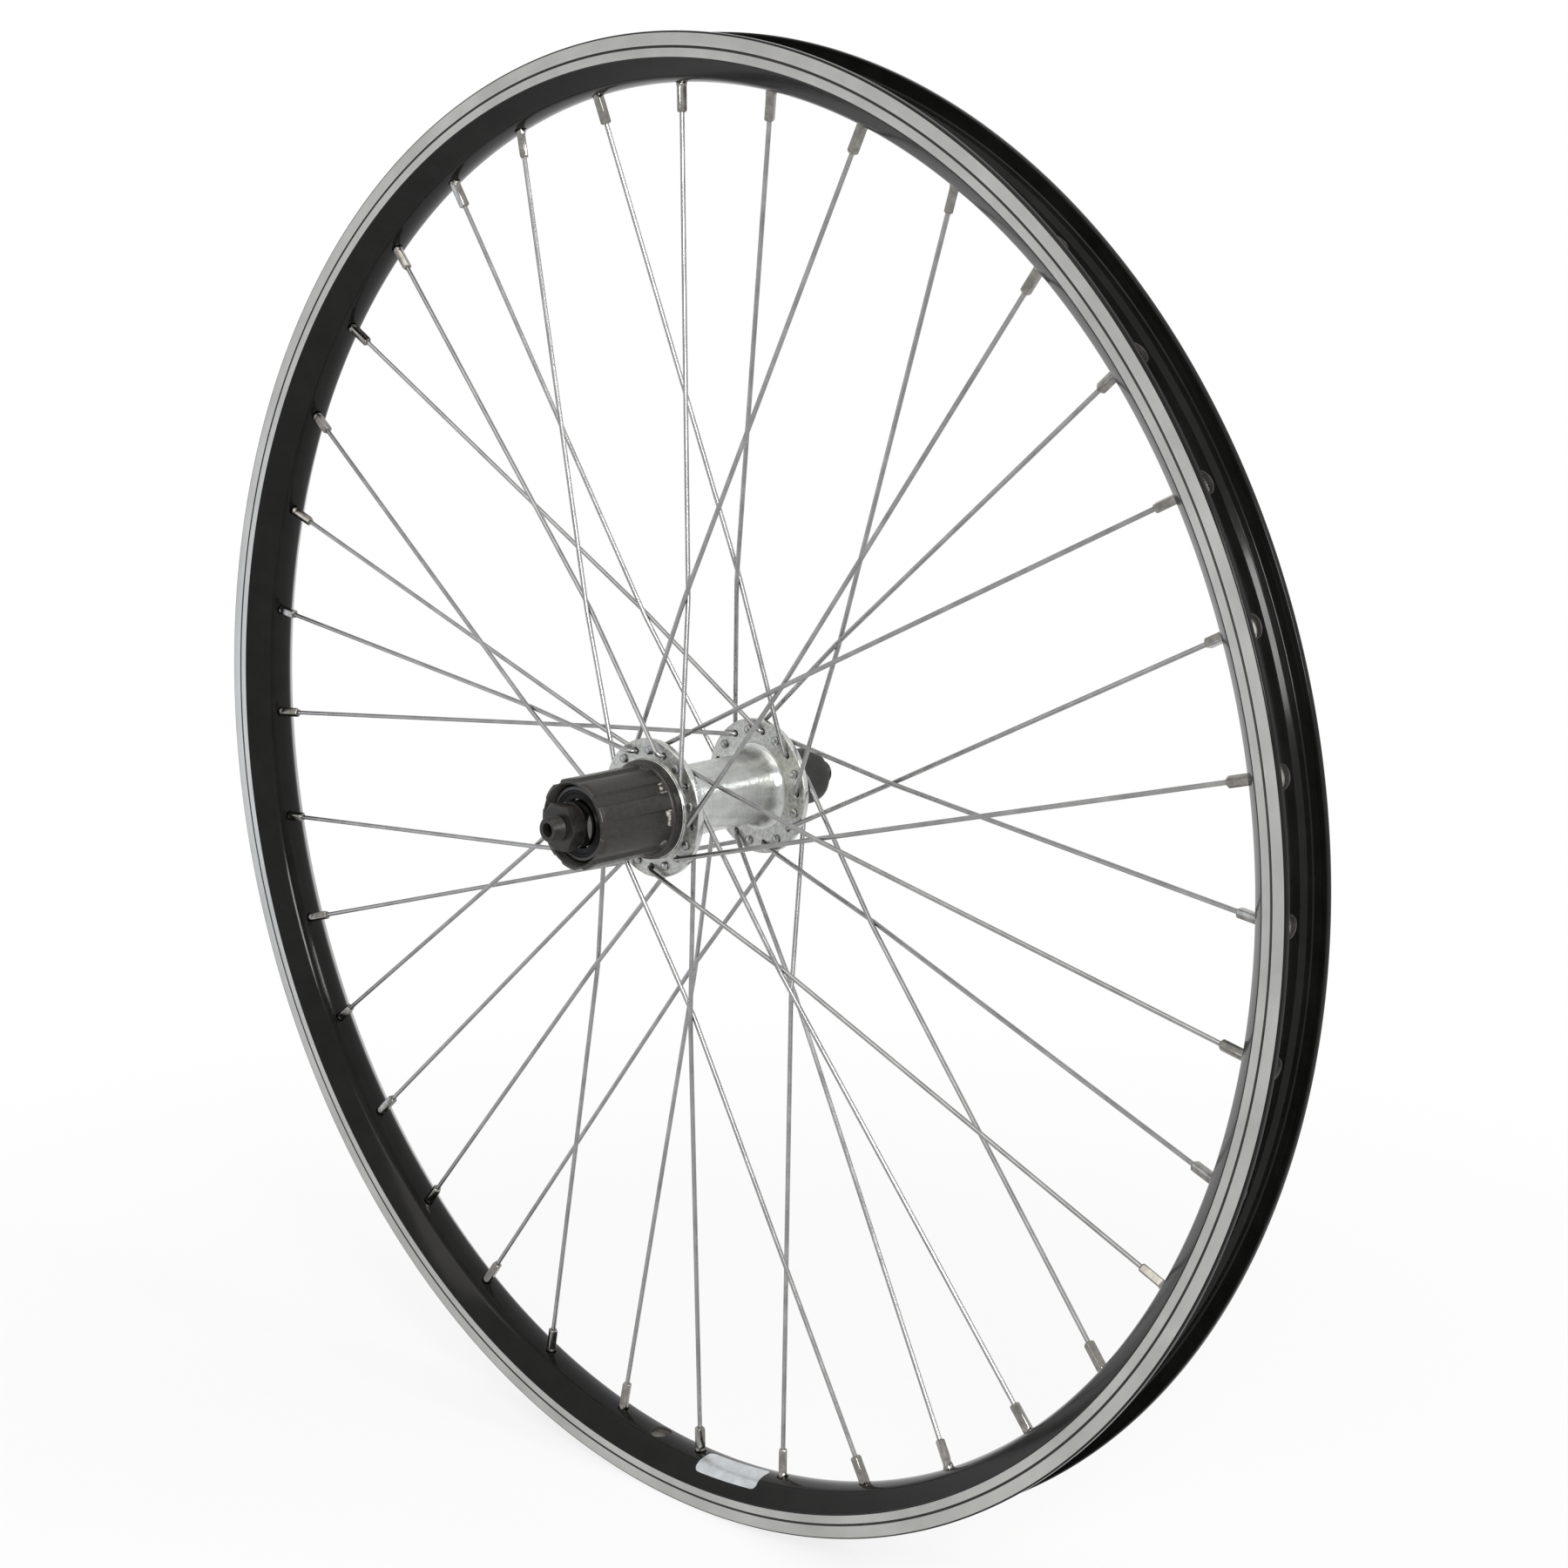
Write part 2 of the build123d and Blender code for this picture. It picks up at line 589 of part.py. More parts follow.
# Freehub body: base ring, splines for the sprockets, and ratchet teeth inside its base
freehub_length = freehub_base_y - freehub_end_y
tip_height = sqrt(freehub_bore_radius**2 - PAWL_LENGTH**2)
tooth_face = degrees(atan2(PAWL_LENGTH, tip_height) + PAWL_TIP_CLEARANCE / freehub_bore_radius)
tooth_pitch = 360 / RATCHET_TEETH
with BuildPart() as freehub_body:
    with BuildSketch(across_axle(freehub_base_y)):
        Circle(FREEHUB_BASE_DIAMETER / 2)
    extrude(amount=FREEHUB_BASE_HEIGHT)
    with BuildSketch(across_axle(spline_start_y)):
        Circle(SPLINE_DIAMETER / 2)
        with PolarLocations(SPLINE_DIAMETER / 2, SPLINE_COUNT):
            Rectangle(2 * SPLINE_DEPTH, SPLINE_GROOVE_WIDTH, mode=Mode.SUBTRACT)
        with PolarLocations(SPLINE_DIAMETER / 2, 1):
            Rectangle(2 * SPLINE_DEPTH, KEY_GROOVE_WIDTH, mode=Mode.SUBTRACT)
    extrude(amount=spline_start_y - freehub_end_y)
    with BuildSketch(across_axle(freehub_base_y)):
        Circle(freehub_bore_radius)
    extrude(amount=freehub_length, mode=Mode.SUBTRACT)
    with BuildSketch(across_axle(freehub_end_y + LOCK_RING_DEPTH)):
        Circle(LOCK_RING_BORE / 2)
    extrude(amount=LOCK_RING_DEPTH, mode=Mode.SUBTRACT)
    with BuildSketch(across_axle(freehub_base_y)):
        with BuildLine():
            for tooth in range(RATCHET_TEETH):
                face = radians(PAWL_ANGLE + tooth_face + tooth * tooth_pitch)
                slope_end = face - radians(tooth_pitch)
                root = (ratchet_radius * cos(face), ratchet_radius * sin(face))
                tip = (freehub_bore_radius * cos(face), freehub_bore_radius * sin(face))
                far = (freehub_bore_radius * cos(slope_end), freehub_bore_radius * sin(slope_end))
                Line(far, root)
                Line(root, tip)
        make_face()
    extrude(amount=RATCHET_LENGTH, mode=Mode.SUBTRACT)
finish("freehub_body", freehub_body.part)

# Freehub carrier: a sleeve fixed in the hub shell, with the drive-side cup at its outer end
head_hole_radius = BOLT_HEAD_DIAMETER / 2 + BOLT_CLEARANCE
pawl_end_y = pawl_start_y - PAWL_WIDTH
pocket_width = PAWL_WIDTH + 2 * PAWL_CLEARANCE
pivot_radius = PAWL_PIVOT_DIAMETER / 2
with BuildPart() as freehub_carrier:
    with BuildSketch(Plane.XY):
        with BuildLine():
            Polyline(
                (bolt_hole_radius, spigot_end_y),
                (CARRIER_SPIGOT_DIAMETER / 2, spigot_end_y),
                (CARRIER_SPIGOT_DIAMETER / 2, drive_shell_y),
                (carrier_radius, drive_shell_y),
                (carrier_radius, carrier_end_y),
                (cup_lip_radius, carrier_end_y),
                (cup_lip_radius, cup_race_y(drive_balls_y, -1, cup_lip_radius)),
                (head_hole_radius, cup_race_y(drive_balls_y, -1, head_hole_radius)),
                (head_hole_radius, bolt_seat_y),
                (bolt_hole_radius, bolt_seat_y),
                close=True,
            )
        make_face()
    revolve(axis=Axis.Y)
    for pawl in range(PAWL_COUNT):
        with BuildSketch(pawl_plane(pawl, pawl_end_y - PAWL_CLEARANCE)):
            Circle(pivot_radius + PAWL_CLEARANCE)
            with Locations((0, -POCKET_FLOOR)):
                Rectangle(POCKET_LENGTH, 2 * carrier_radius, align=(Align.MIN, Align.MIN))
    extrude(amount=pocket_width, mode=Mode.SUBTRACT)
finish("freehub_carrier", freehub_carrier.part)

# Pawls, drawn engaged with the ratchet teeth
for pawl in range(PAWL_COUNT):
    with BuildPart() as pawl_piece:
        with BuildSketch(pawl_plane(pawl, pawl_end_y)):
            Circle(pivot_radius)
            with BuildLine():
                Polyline(
                    (0, -pivot_radius),
                    (PAWL_LENGTH, PAWL_TIP_BOTTOM),
                    (PAWL_LENGTH, PAWL_TIP_TOP),
                    (0, pivot_radius),
                    close=True,
                )
            make_face()
        extrude(amount=PAWL_WIDTH)
    finish(f"pawl_{pawl + 1}", pawl_piece.part)

# Leaf springs under the pawls, on the floors of their pockets
with BuildPart() as pawl_springs:
    for pawl in range(PAWL_COUNT):
        with BuildSketch(pawl_plane(pawl, pawl_end_y + (PAWL_WIDTH - LEAF_WIDTH) / 2)):
            with Locations((LEAF_START, -POCKET_FLOOR)):
                Rectangle(LEAF_LENGTH, LEAF_THICKNESS, align=(Align.MIN, Align.MIN))
    extrude(amount=LEAF_WIDTH)
finish("pawl_springs", pawl_springs.part)

# Hollow bolt that clamps the carrier to the hub shell
shank_length = bolt_end_y - bolt_seat_y
with BuildPart() as freehub_bolt:
    with BuildSketch(across_axle(bolt_end_y)):
        Circle(BOLT_SHANK_DIAMETER / 2)
    extrude(amount=shank_length)
    with BuildSketch(across_axle(bolt_seat_y)):
        Circle(BOLT_HEAD_DIAMETER / 2)
    extrude(amount=BOLT_HEAD_LENGTH)
    with BuildSketch(across_axle(bolt_end_y)):
        Circle(BOLT_BORE / 2)
    extrude(amount=shank_length + BOLT_HEAD_LENGTH, mode=Mode.SUBTRACT)
finish("freehub_bolt", freehub_bolt.part)
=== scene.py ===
import logging
import math
from dataclasses import dataclass
from enum import Enum
from typing import Callable, Optional

import bmesh
import bpy
import numpy as np
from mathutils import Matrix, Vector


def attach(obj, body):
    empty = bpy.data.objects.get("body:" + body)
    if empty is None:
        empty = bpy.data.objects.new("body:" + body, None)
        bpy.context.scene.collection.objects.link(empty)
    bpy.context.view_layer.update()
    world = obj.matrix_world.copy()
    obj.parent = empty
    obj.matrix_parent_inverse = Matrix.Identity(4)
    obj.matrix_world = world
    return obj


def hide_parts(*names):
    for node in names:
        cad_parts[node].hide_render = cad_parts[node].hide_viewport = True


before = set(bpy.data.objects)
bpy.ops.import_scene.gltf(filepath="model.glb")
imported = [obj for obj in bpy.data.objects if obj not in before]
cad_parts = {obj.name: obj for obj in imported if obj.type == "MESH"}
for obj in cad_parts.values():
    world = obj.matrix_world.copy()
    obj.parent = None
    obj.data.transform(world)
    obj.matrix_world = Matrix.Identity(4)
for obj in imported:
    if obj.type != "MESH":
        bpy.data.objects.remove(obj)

# Rear bicycle wheel without its tyre. Sizes are in millimetres, in the CAD frame:
# the axle runs along Y with the drive side at -Y, and Z is up.

Array = np.ndarray
Tree = bpy.types.NodeTree
Socket = bpy.types.NodeSocket
Chooser = Callable[[Array], dict]
Grader = Callable[[Array], Array]

MM = 0.001
# Points nearer than this are one point, and edges shorter than a tenth of it are none
MERGE_DISTANCE = 0.002 * MM
LEAST_EDGE = MERGE_DISTANCE / 10
SHARP_ANGLE = math.radians(38.0)
# The least turn of a rounded corner, so that a straight one has an arc too
LEAST_TURN = 1e-6
# Points on the arc of a rounded corner, and on each pitch of a thread
ARC_STEPS = 5
THREAD_STEPS = 6
# How far from a surface the middle of a face still counts as on it, in millimetres
NEAR = 0.05
# Turns a profile's left half into its right half
OTHER_SIDE = (1, -1)

log = logging.getLogger("wheel")


class Body(Enum):
    """The CAD bodies that pieces ride on."""

    AXLE = "axle"
    WHEEL = "wheel"
    FREEHUB = "freehub"
    LEFT_BALLS = "left_balls"
    DRIVE_BALLS = "drive_balls"


class Slot(Enum):
    """Names of material slots."""

    RIM = "black_rim"
    SPOKE = "spoke_wire"
    NIPPLE = "nipple_plate"
    ALLOY = "polished_alloy"
    BLACK_STEEL = "black_steel"
    BEARING = "bearing_steel"
    AXLE = "axle_steel"
    PLASTIC = "black_plastic"
    RUBBER = "black_rubber"


# Colour, node and object helpers


def linear(hex_colour: str) -> tuple:
    """Turn an sRGB hex colour into linear light.

    Args:
        hex_colour: six hex digits after a hash sign.

    Returns:
        Red, green, blue and an alpha of one.
    """
    channels = np.array([int(hex_colour[i:i + 2], 16) for i in (1, 3, 5)]) / 255
    low = channels / 12.92
    high = ((channels + 0.055) / 1.055) ** 2.4
    return (*np.where(channels <= 0.04045, low, high).tolist(), 1.0)


def add_node(
    tree: Tree, kind: str, settings: Optional[dict] = None, inputs: Optional[dict] = None
) -> bpy.types.Node:
    """Add one node, set it and link it.

    Args:
        tree: the material's or world's node tree.
        kind: the node's type name.
        settings: values for the node's own properties.
        inputs: a value or an output socket for each named or numbered input.

    Returns:
        The new node.
    """
    node = tree.nodes.new(kind)
    for name, value in (settings or {}).items():
        setattr(node, name, value)
    for name, value in (inputs or {}).items():
        if isinstance(value, Socket):
            tree.links.new(value, node.inputs[name])
        else:
            node.inputs[name].default_value = value
    return node


def set_ramp(node: bpy.types.Node, stops: list) -> Socket:
    """Give a colour ramp its two stops.

    Args:
        node: the ramp.
        stops: pairs of a position and a hex colour, from low to high.

    Returns:
        The ramp's colour output.
    """
    for element, (position, colour) in zip(node.color_ramp.elements, stops):
        element.position = position
        element.color = linear(colour)
    return node.outputs["Color"]


def put_in_scene(name: str, data: bpy.types.ID) -> bpy.types.Object:
    """Make an object of a mesh, a camera or a lamp, and link it to the scene."""
    item = bpy.data.objects.new(name, data)
    bpy.context.scene.collection.objects.link(item)
    return item


# Finishes

# The cloud pattern's values between which colour and gloss change
CLOUD_LOW = 0.3
CLOUD_HIGH = 0.7
# Wear-and-glint map and cloud added up: bare metal colour, which draws real wear and painted glints, begins
# to show at the first sum, and is all there is at the second
BARE_AND_GLINT_FROM = 0.85
BARE_AND_GLINT_FULL = 1.05
# Height of the grain at full strength
GRAIN_DEPTH = 0.1 * MM


@dataclass(frozen=True)
class Finish:
    """A metal, plastic or rubber surface with fine patterns in colour, gloss and height.

    The cloud pattern is a soft variation of colour and gloss. The grain is a finer one in height.
    Turned finishes have their grain in rings about the axle, as a lathe leaves it.
    """

    name: str
    dark: str
    light: str
    metallic: float
    roughness: tuple
    cloud_mm: float
    grain_mm: float
    grain_height: float
    turned: bool = False
    mirror: float = 0.5
    worn_and_glint: Optional[str] = None

    def make(self) -> bpy.types.Material:
        """Build the node material.

        Returns:
            The new material.
        """
        material = bpy.data.materials.new(self.name)
        material.use_nodes = True
        tree = material.node_tree
        shader = tree.nodes["Principled BSDF"]
        shader.inputs["Metallic"].default_value = self.metallic
        shader.inputs["Specular IOR Level"].default_value = self.mirror
        place = add_node(tree, "ShaderNodeTexCoord").outputs["Object"]
        cloud = add_node(tree, "ShaderNodeTexNoise", inputs={
            "Vector": place, "Scale": 1 / (self.cloud_mm * MM), "Detail": 4.0, "Roughness": 0.6,
        }).outputs["Fac"]
        ramp = add_node(tree, "ShaderNodeValToRGB", inputs={"Fac": cloud})
        colour = set_ramp(ramp, [(CLOUD_LOW, self.dark), (CLOUD_HIGH, self.light)])
        gloss = add_node(tree, "ShaderNodeMapRange", inputs={
            "Value": cloud, "From Min": CLOUD_LOW, "From Max": CLOUD_HIGH,
            "To Min": self.roughness[0], "To Max": self.roughness[1],
        }).outputs["Result"]
        # The bare metal colour mixed in here draws real wear, and also painted glints
        if self.worn_and_glint:
            wear_and_glint = add_node(tree, "ShaderNodeAttribute", {"attribute_name": "wear_and_glint"}).outputs["Fac"]
            depth = add_node(tree, "ShaderNodeMath", {"operation": "ADD"}, {0: wear_and_glint, 1: cloud}).outputs[0]
            bare_and_glint_share = add_node(tree, "ShaderNodeMapRange", inputs={
                "Value": depth, "From Min": BARE_AND_GLINT_FROM, "From Max": BARE_AND_GLINT_FULL,
            }).outputs["Result"]
            colour = add_node(tree, "ShaderNodeMix", {"data_type": "RGBA"},
                              {0: bare_and_glint_share, 6: colour, 7: linear(self.worn_and_glint)}).outputs[2]
        tree.links.new(colour, shader.inputs["Base Color"])
        tree.links.new(gloss, shader.inputs["Roughness"])
        tree.links.new(self.height(tree, place), shader.inputs["Normal"])
        return material

    def height(self, tree: Tree, place: Socket) -> Socket:
        """Add the grain: a noise over the surface, or a noise of the distance from the axle and along it.

        Args:
            tree: the material's node tree.
            place: object coordinates.

        Returns:
            The bumped normal.
        """
        scale = 1 / (self.grain_mm * MM)
        if self.turned:
            across = add_node(tree, "ShaderNodeVectorMath", {"operation": "MULTIPLY"},
                              {0: place, 1: (1.0, 0.0, 1.0)}).outputs[0]
            radius = add_node(tree, "ShaderNodeVectorMath", {"operation": "LENGTH"},
                              {0: across}).outputs["Value"]
            along = add_node(tree, "ShaderNodeSeparateXYZ", inputs={0: place}).outputs["Y"]
            line = add_node(tree, "ShaderNodeMath", {"operation": "ADD"}, {0: radius, 1: along}).outputs[0]
            grain = add_node(tree, "ShaderNodeTexNoise", {"noise_dimensions": "1D"},
                             {"W": line, "Scale": scale, "Detail": 2.0}).outputs["Fac"]
        else:
            grain = add_node(tree, "ShaderNodeTexNoise",
                             inputs={"Vector": place, "Scale": scale, "Detail": 3.0}).outputs["Fac"]
        return add_node(tree, "ShaderNodeBump", inputs={
            "Height": grain, "Strength": self.grain_height, "Distance": GRAIN_DEPTH,
        }).outputs["Normal"]


# Black anodised aluminium, polished before it was dyed: a deep gloss on a near-black ground.
ANODISED = Finish(
    "anodised_aluminium_black", "#0d0d0c", "#151514", metallic=0.0, roughness=(0.1, 0.16),
    cloud_mm=14.0, grain_mm=0.6, grain_height=0.012, mirror=0.15,
)
# The same coat in the wear groove, where brake dust sits: dull.
GROOVE = Finish(
    "anodised_aluminium_groove", "#23211f", "#302e2a", metallic=0.0, roughness=(0.5, 0.6),
    cloud_mm=6.0, grain_mm=0.5, grain_height=0.2, mirror=0.2,
)
# Bare aluminium turned on a lathe for the brake blocks: pale grey with fine rings, which are drawn
# wider apart than the lathe leaves them, so that they show.
TRACK = Finish(
    "machined_aluminium_track", "#a5a5a2", "#b8b8b5", metallic=1.0, roughness=(0.38, 0.48),
    cloud_mm=30.0, grain_mm=0.5, grain_height=0.2, turned=True,
)
# Aluminium that a drill tore before the rim was dyed: the dye takes less, so it is matt and dark grey.
DRILLED = Finish(
    "drilled_aluminium", "#34322f", "#464340", metallic=0.0, roughness=(0.5, 0.6),
    cloud_mm=2.0, grain_mm=0.3, grain_height=0.1, mirror=0.2,
)
# The chamber's inside: a pale satin, so that a light spot shows through the valve hole, a painted highlight.
PALE_CHAMBER_GLINT = Finish(
    "chamber_aluminium_painted_glint", "#c2c0ba", "#d8d6d0", metallic=0.25, roughness=(0.4, 0.5),
    cloud_mm=6.0, grain_mm=0.8, grain_height=0.1,
)
# Drawn stainless wire: mid grey and smooth, with faint blotches.
WIRE = Finish(
    "stainless_steel_wire", "#848484", "#a0a09f", metallic=1.0, roughness=(0.22, 0.32),
    cloud_mm=9.0, grain_mm=0.6, grain_height=0.012,
)
# Nickel plate on brass: a smooth grey silver, faintly warm.
NICKEL = Finish(
    "nickel_plated_brass", "#6c6a66", "#93908b", metallic=1.0, roughness=(0.08, 0.18),
    cloud_mm=3.0, grain_mm=0.5, grain_height=0.05,
)
# Aluminium turned and buffed: a mirror whose fine rings draw each reflection out along the axle.
POLISHED = Finish(
    "polished_aluminium", "#b2b4b1", "#c8cac7", metallic=1.0, roughness=(0.09, 0.14),
    cloud_mm=12.0, grain_mm=0.15, grain_height=0.6, turned=True,
)
# Forged aluminium that was only tumbled: a dull pale grey with fine pits.
TUMBLED = Finish(
    "tumbled_aluminium", "#8c8c87", "#c6c6c0", metallic=1.0, roughness=(0.38, 0.52),
    cloud_mm=1.5, grain_mm=0.7, grain_height=0.6,
)
# Steel with a black oxide coat: dark grey, with the bare steel showing where sprockets rubbed, and painted
# glints in the same pale colour near the base ring.
OXIDE = Finish(
    "black_oxide_steel", "#242320", "#353330", metallic=0.35, roughness=(0.28, 0.42),
    cloud_mm=1.6, grain_mm=0.5, grain_height=0.15, worn_and_glint="#c4beb4",
)
# Ground bearing steel: clean and bright.
BEARING = Finish(
    "ground_bearing_steel", "#8f8e8c", "#a7a6a3", metallic=1.0, roughness=(0.14, 0.22),
    cloud_mm=4.0, grain_mm=0.5, grain_height=0.03,
)
# Black zinc plate on the axle, nuts and washers: a dark grey with a satin face.
ZINC = Finish(
    "black_zinc_plated_steel", "#262523", "#373532", metallic=0.6, roughness=(0.32, 0.45),
    cloud_mm=3.0, grain_mm=0.6, grain_height=0.12, mirror=0.3,
)
# Moulded black nylon: even and faintly glossy.
NYLON = Finish(
    "moulded_nylon_black", "#0b0b0b", "#121212", metallic=0.0, roughness=(0.4, 0.5),
    cloud_mm=5.0, grain_mm=0.6, grain_height=0.1, mirror=0.12,
)
# Moulded rubber: black, dull, a little dusty.
RUBBER = Finish(
    "moulded_rubber_black", "#1b1a19", "#292827", metallic=0.0, roughness=(0.5, 0.65),
    cloud_mm=4.0, grain_mm=0.7, grain_height=0.2, mirror=0.35,
)
# A bare metal foil plate: pale silver, faintly creased.
FOIL = Finish(
    "aluminium_foil_plate", "#b4b8ba", "#ced2d4", metallic=1.0, roughness=(0.3, 0.42),
    cloud_mm=5.0, grain_mm=2.0, grain_height=0.2,
)


class Stock:
    """Makes each finish's material once."""

    def __init__(self) -> None:
        """Start with no materials."""
        self.made: dict = {}

    def get(self, finish: Finish) -> bpy.types.Material:
        """The material of a finish."""
        if finish.name not in self.made:
            self.made[finish.name] = finish.make()
        return self.made[finish.name]


STOCK = Stock()


# Surfaces


def quads_of(index: Array) -> Array:
    """Four-sided faces between the neighbours in grids of numbered points, one row each."""
    corners = [index[..., :-1, :-1], index[..., 1:, :-1], index[..., 1:, 1:], index[..., :-1, 1:]]
    return np.stack(corners, axis=-1).reshape(-1, 4)


class Shell:
    """Grids of points that are gathered into one closed mesh."""

    def __init__(self) -> None:
        """Start with no points."""
        self.points: list = []
        self.faces: list = []
        self.count = 0

    def add(self, *grids: Array) -> "Shell":
        """Add grids of points. The last two places count rows and columns, and faces join neighbours.

        Args:
            grids: arrays of points in millimetres, each with any number of grids of one size.

        Returns:
            The shell itself.
        """
        for grid in grids:
            index = np.arange(grid[..., 0].size).reshape(grid.shape[:-1]) + self.count
            self.points.append(grid.reshape(-1, 3))
            self.faces.append(quads_of(index))
            self.count += index.size
        return self

    def join(self, name: str) -> bpy.types.Mesh:
        """Join the grids where they meet, and turn the faces outward.

        Args:
            name: the mesh's name.

        Returns:
            The new mesh.
        """
        points = np.concatenate(self.points) * MM
        faces = np.concatenate(self.faces)
        mesh = bpy.data.meshes.new(name)
        mesh.vertices.add(len(points))
        mesh.vertices.foreach_set("co", points.ravel())
        mesh.loops.add(faces.size)
        mesh.loops.foreach_set("vertex_index", faces.ravel().astype(np.int32))
        mesh.polygons.add(len(faces))
        mesh.polygons.foreach_set("loop_start", np.arange(0, faces.size, 4, dtype=np.int32))
        mesh.update(calc_edges=True)
        work = bmesh.new()
        work.from_mesh(mesh)
        bmesh.ops.remove_doubles(work, verts=work.verts, dist=MERGE_DISTANCE)
        bmesh.ops.dissolve_degenerate(work, edges=work.edges, dist=LEAST_EDGE)
        bmesh.ops.recalc_face_normals(work, faces=work.faces)
        open_edges = sum(not edge.is_manifold for edge in work.edges)
        work.to_mesh(mesh)
        work.free()
        log.info("%s: %d faces, %d open edges", name, len(mesh.polygons), open_edges)
        return mesh

    def make(
        self,
        name: str,
        finishes: tuple,
        body: Body,
        slot: Slot,
        node: Optional[str],
        choose: Optional[Chooser] = None,
        wear_and_glint: Optional[Grader] = None,
    ) -> None:
        """Join the grids, dress the mesh and place the piece.

        Args:
            name: the piece's name.
            finishes: its finishes, the main one first.
            body: the CAD body that it rides on.
            slot: not used.
            node: the CAD node that it stands for, if any.
            choose: gives the faces of each other finish, from the middles of all faces in millimetres.
            wear_and_glint: gives at each point, from 0 to 1, how much bare metal colour shows, for real wear
                and for painted glints.
        """
        mesh = self.join(name)
        for finish in finishes:
            mesh.materials.append(STOCK.get(finish))
        if choose:
            centres = np.zeros(len(mesh.polygons) * 3)
            mesh.polygons.foreach_get("center", centres)
            cases = choose(centres.reshape(-1, 3) / MM)
            numbers = np.select(list(cases.values()), [finishes.index(finish) for finish in cases])
            mesh.polygons.foreach_set("material_index", numbers.astype(np.int32))
        # Per-point share of bare metal colour: real wear, and painted glints
        if wear_and_glint:
            places = np.zeros(len(mesh.vertices) * 3)
            mesh.vertices.foreach_get("co", places)
            layer = mesh.attributes.new("wear_and_glint", "FLOAT", "POINT")
            layer.data.foreach_set("value", wear_and_glint(places.reshape(-1, 3) / MM))
        mesh.polygons.foreach_set("use_smooth", np.ones(len(mesh.polygons), dtype=bool))
        mesh.set_sharp_from_angle(angle=SHARP_ANGLE)
        piece = put_in_scene(name, mesh)
        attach(piece, body.value)
        if node:
            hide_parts(node)


def unit(vectors: Array) -> Array:
    """Vectors at a length of one."""
    return vectors / np.linalg.norm(vectors, axis=-1, keepdims=True)


def filleted(corners: Array, radii: Array, steps: int) -> Array:
    """Round the corners of open lines with arcs.

    An arc of radius r touches both legs at r / tan(half the corner's angle) from the corner, and its
    points turn evenly from one leg to the other. A radius of 0 keeps the corner.

    Args:
        corners: start, corners and end of each line.
        radii: the radius at each corner.
        steps: points on each arc.

    Returns:
        The points of each line.
    """
    point = corners[:, 1:-1]
    before = unit(corners[:, :-2] - point)
    after = unit(corners[:, 2:] - point)
    half = np.arccos(np.clip((before * after).sum(axis=-1, keepdims=True), -1, 1)) / 2
    size = radii[None, :, None]
    centre = point + unit(before + after) * size / np.sin(half)
    first = point + before * size / np.tan(half) - centre
    last = point + after * size / np.tan(half) - centre
    turn = np.maximum(math.pi - 2 * half, LEAST_TURN)[:, :, None]
    share = np.linspace(0, 1, steps)[None, None, :, None]
    arc = np.sin((1 - share) * turn) * first[:, :, None] + np.sin(share * turn) * last[:, :, None]
    inner = (centre[:, :, None] + arc / np.sin(turn)).reshape(len(corners), -1, corners.shape[-1])
    return np.concatenate([corners[:, :1], inner, corners[:, -1:]], axis=1)


def rounded(corners: list) -> Array:
    """Round the corners of one open profile with arcs.

    Args:
        corners: radius from the axle, place along it and rounding for each corner.

    Returns:
        The profile's points, radius and place.
    """
    table = np.array(corners, dtype=float)
    return filleted(table[None, :, :2], table[1:-1, 2], ARC_STEPS)[0]


def about_axle(radius: Array, along: Array, angle: Array) -> Array:
    """Points at a radius and angle about the axle, the angle counted from +X towards +Z, in degrees."""
    radius, along, turn = np.broadcast_arrays(radius, along, np.radians(angle))
    return np.stack([radius * np.cos(turn), along, radius * np.sin(turn)], axis=-1)


def turned(profile: Array, angles: Array) -> Array:
    """A profile turned about the axle: each point of it goes round at its own radius."""
    return about_axle(profile[:, :1], profile[:, 1:], angles[None, :])


def whole_turn(steps: int, start: float = 0.0) -> Array:
    """Even angles round the axle, with the first repeated as the last."""
    return start + np.linspace(0, 360, steps + 1)


def threaded(radius: float, depth: float, pitch: float, along: Array) -> Array:
    """A thread's radius: a cosine wave that goes from the radius down by the depth and back in a pitch."""
    return radius - depth * (0.5 - 0.5 * np.cos(2 * math.pi * (along - along[0]) / pitch))


def frame_of(low: float, high: float, bottom: float, top: float, across: int, up: int) -> Array:
    """Points round a rectangle, evenly along each side, back to the first.

    Args:
        low: lowest first coordinate.
        high: highest first coordinate.
        bottom: lowest second coordinate.
        top: highest second coordinate.
        across: steps along the first coordinate.
        up: steps along the second.

    Returns:
        The points, one row each.
    """
    first = np.linspace(low, high, across + 1)
    second = np.linspace(bottom, top, up + 1)
    sides = [
        np.stack([first[:-1], np.full(across, bottom)], axis=1),
        np.stack([np.full(up, high), second[:-1]], axis=1),
        np.stack([first[:0:-1], np.full(across, top)], axis=1),
        np.stack([np.full(up, low), second[:0:-1]], axis=1),
        np.array([[low, bottom]]),
    ]
    return np.concatenate(sides)


def circle_in(outline: Array, radius: float) -> Array:
    """A circle round the origin with as many even points as an outline, from the same direction."""
    start = math.atan2(outline[0, 1], outline[0, 0])
    turn = start + np.linspace(0, 2 * math.pi, len(outline))
    return radius * np.stack([np.cos(turn), np.sin(turn)], axis=1)


def between(inner: Array, outer: Array, rows: int) -> Array:
    """Rows of points on straight lines from an inner ring to an outer one."""
    share = np.linspace(0, 1, rows + 1)[:, None, None]
    return inner[..., None, :, :] * (1 - share) + outer[..., None, :, :] * share


# Rim


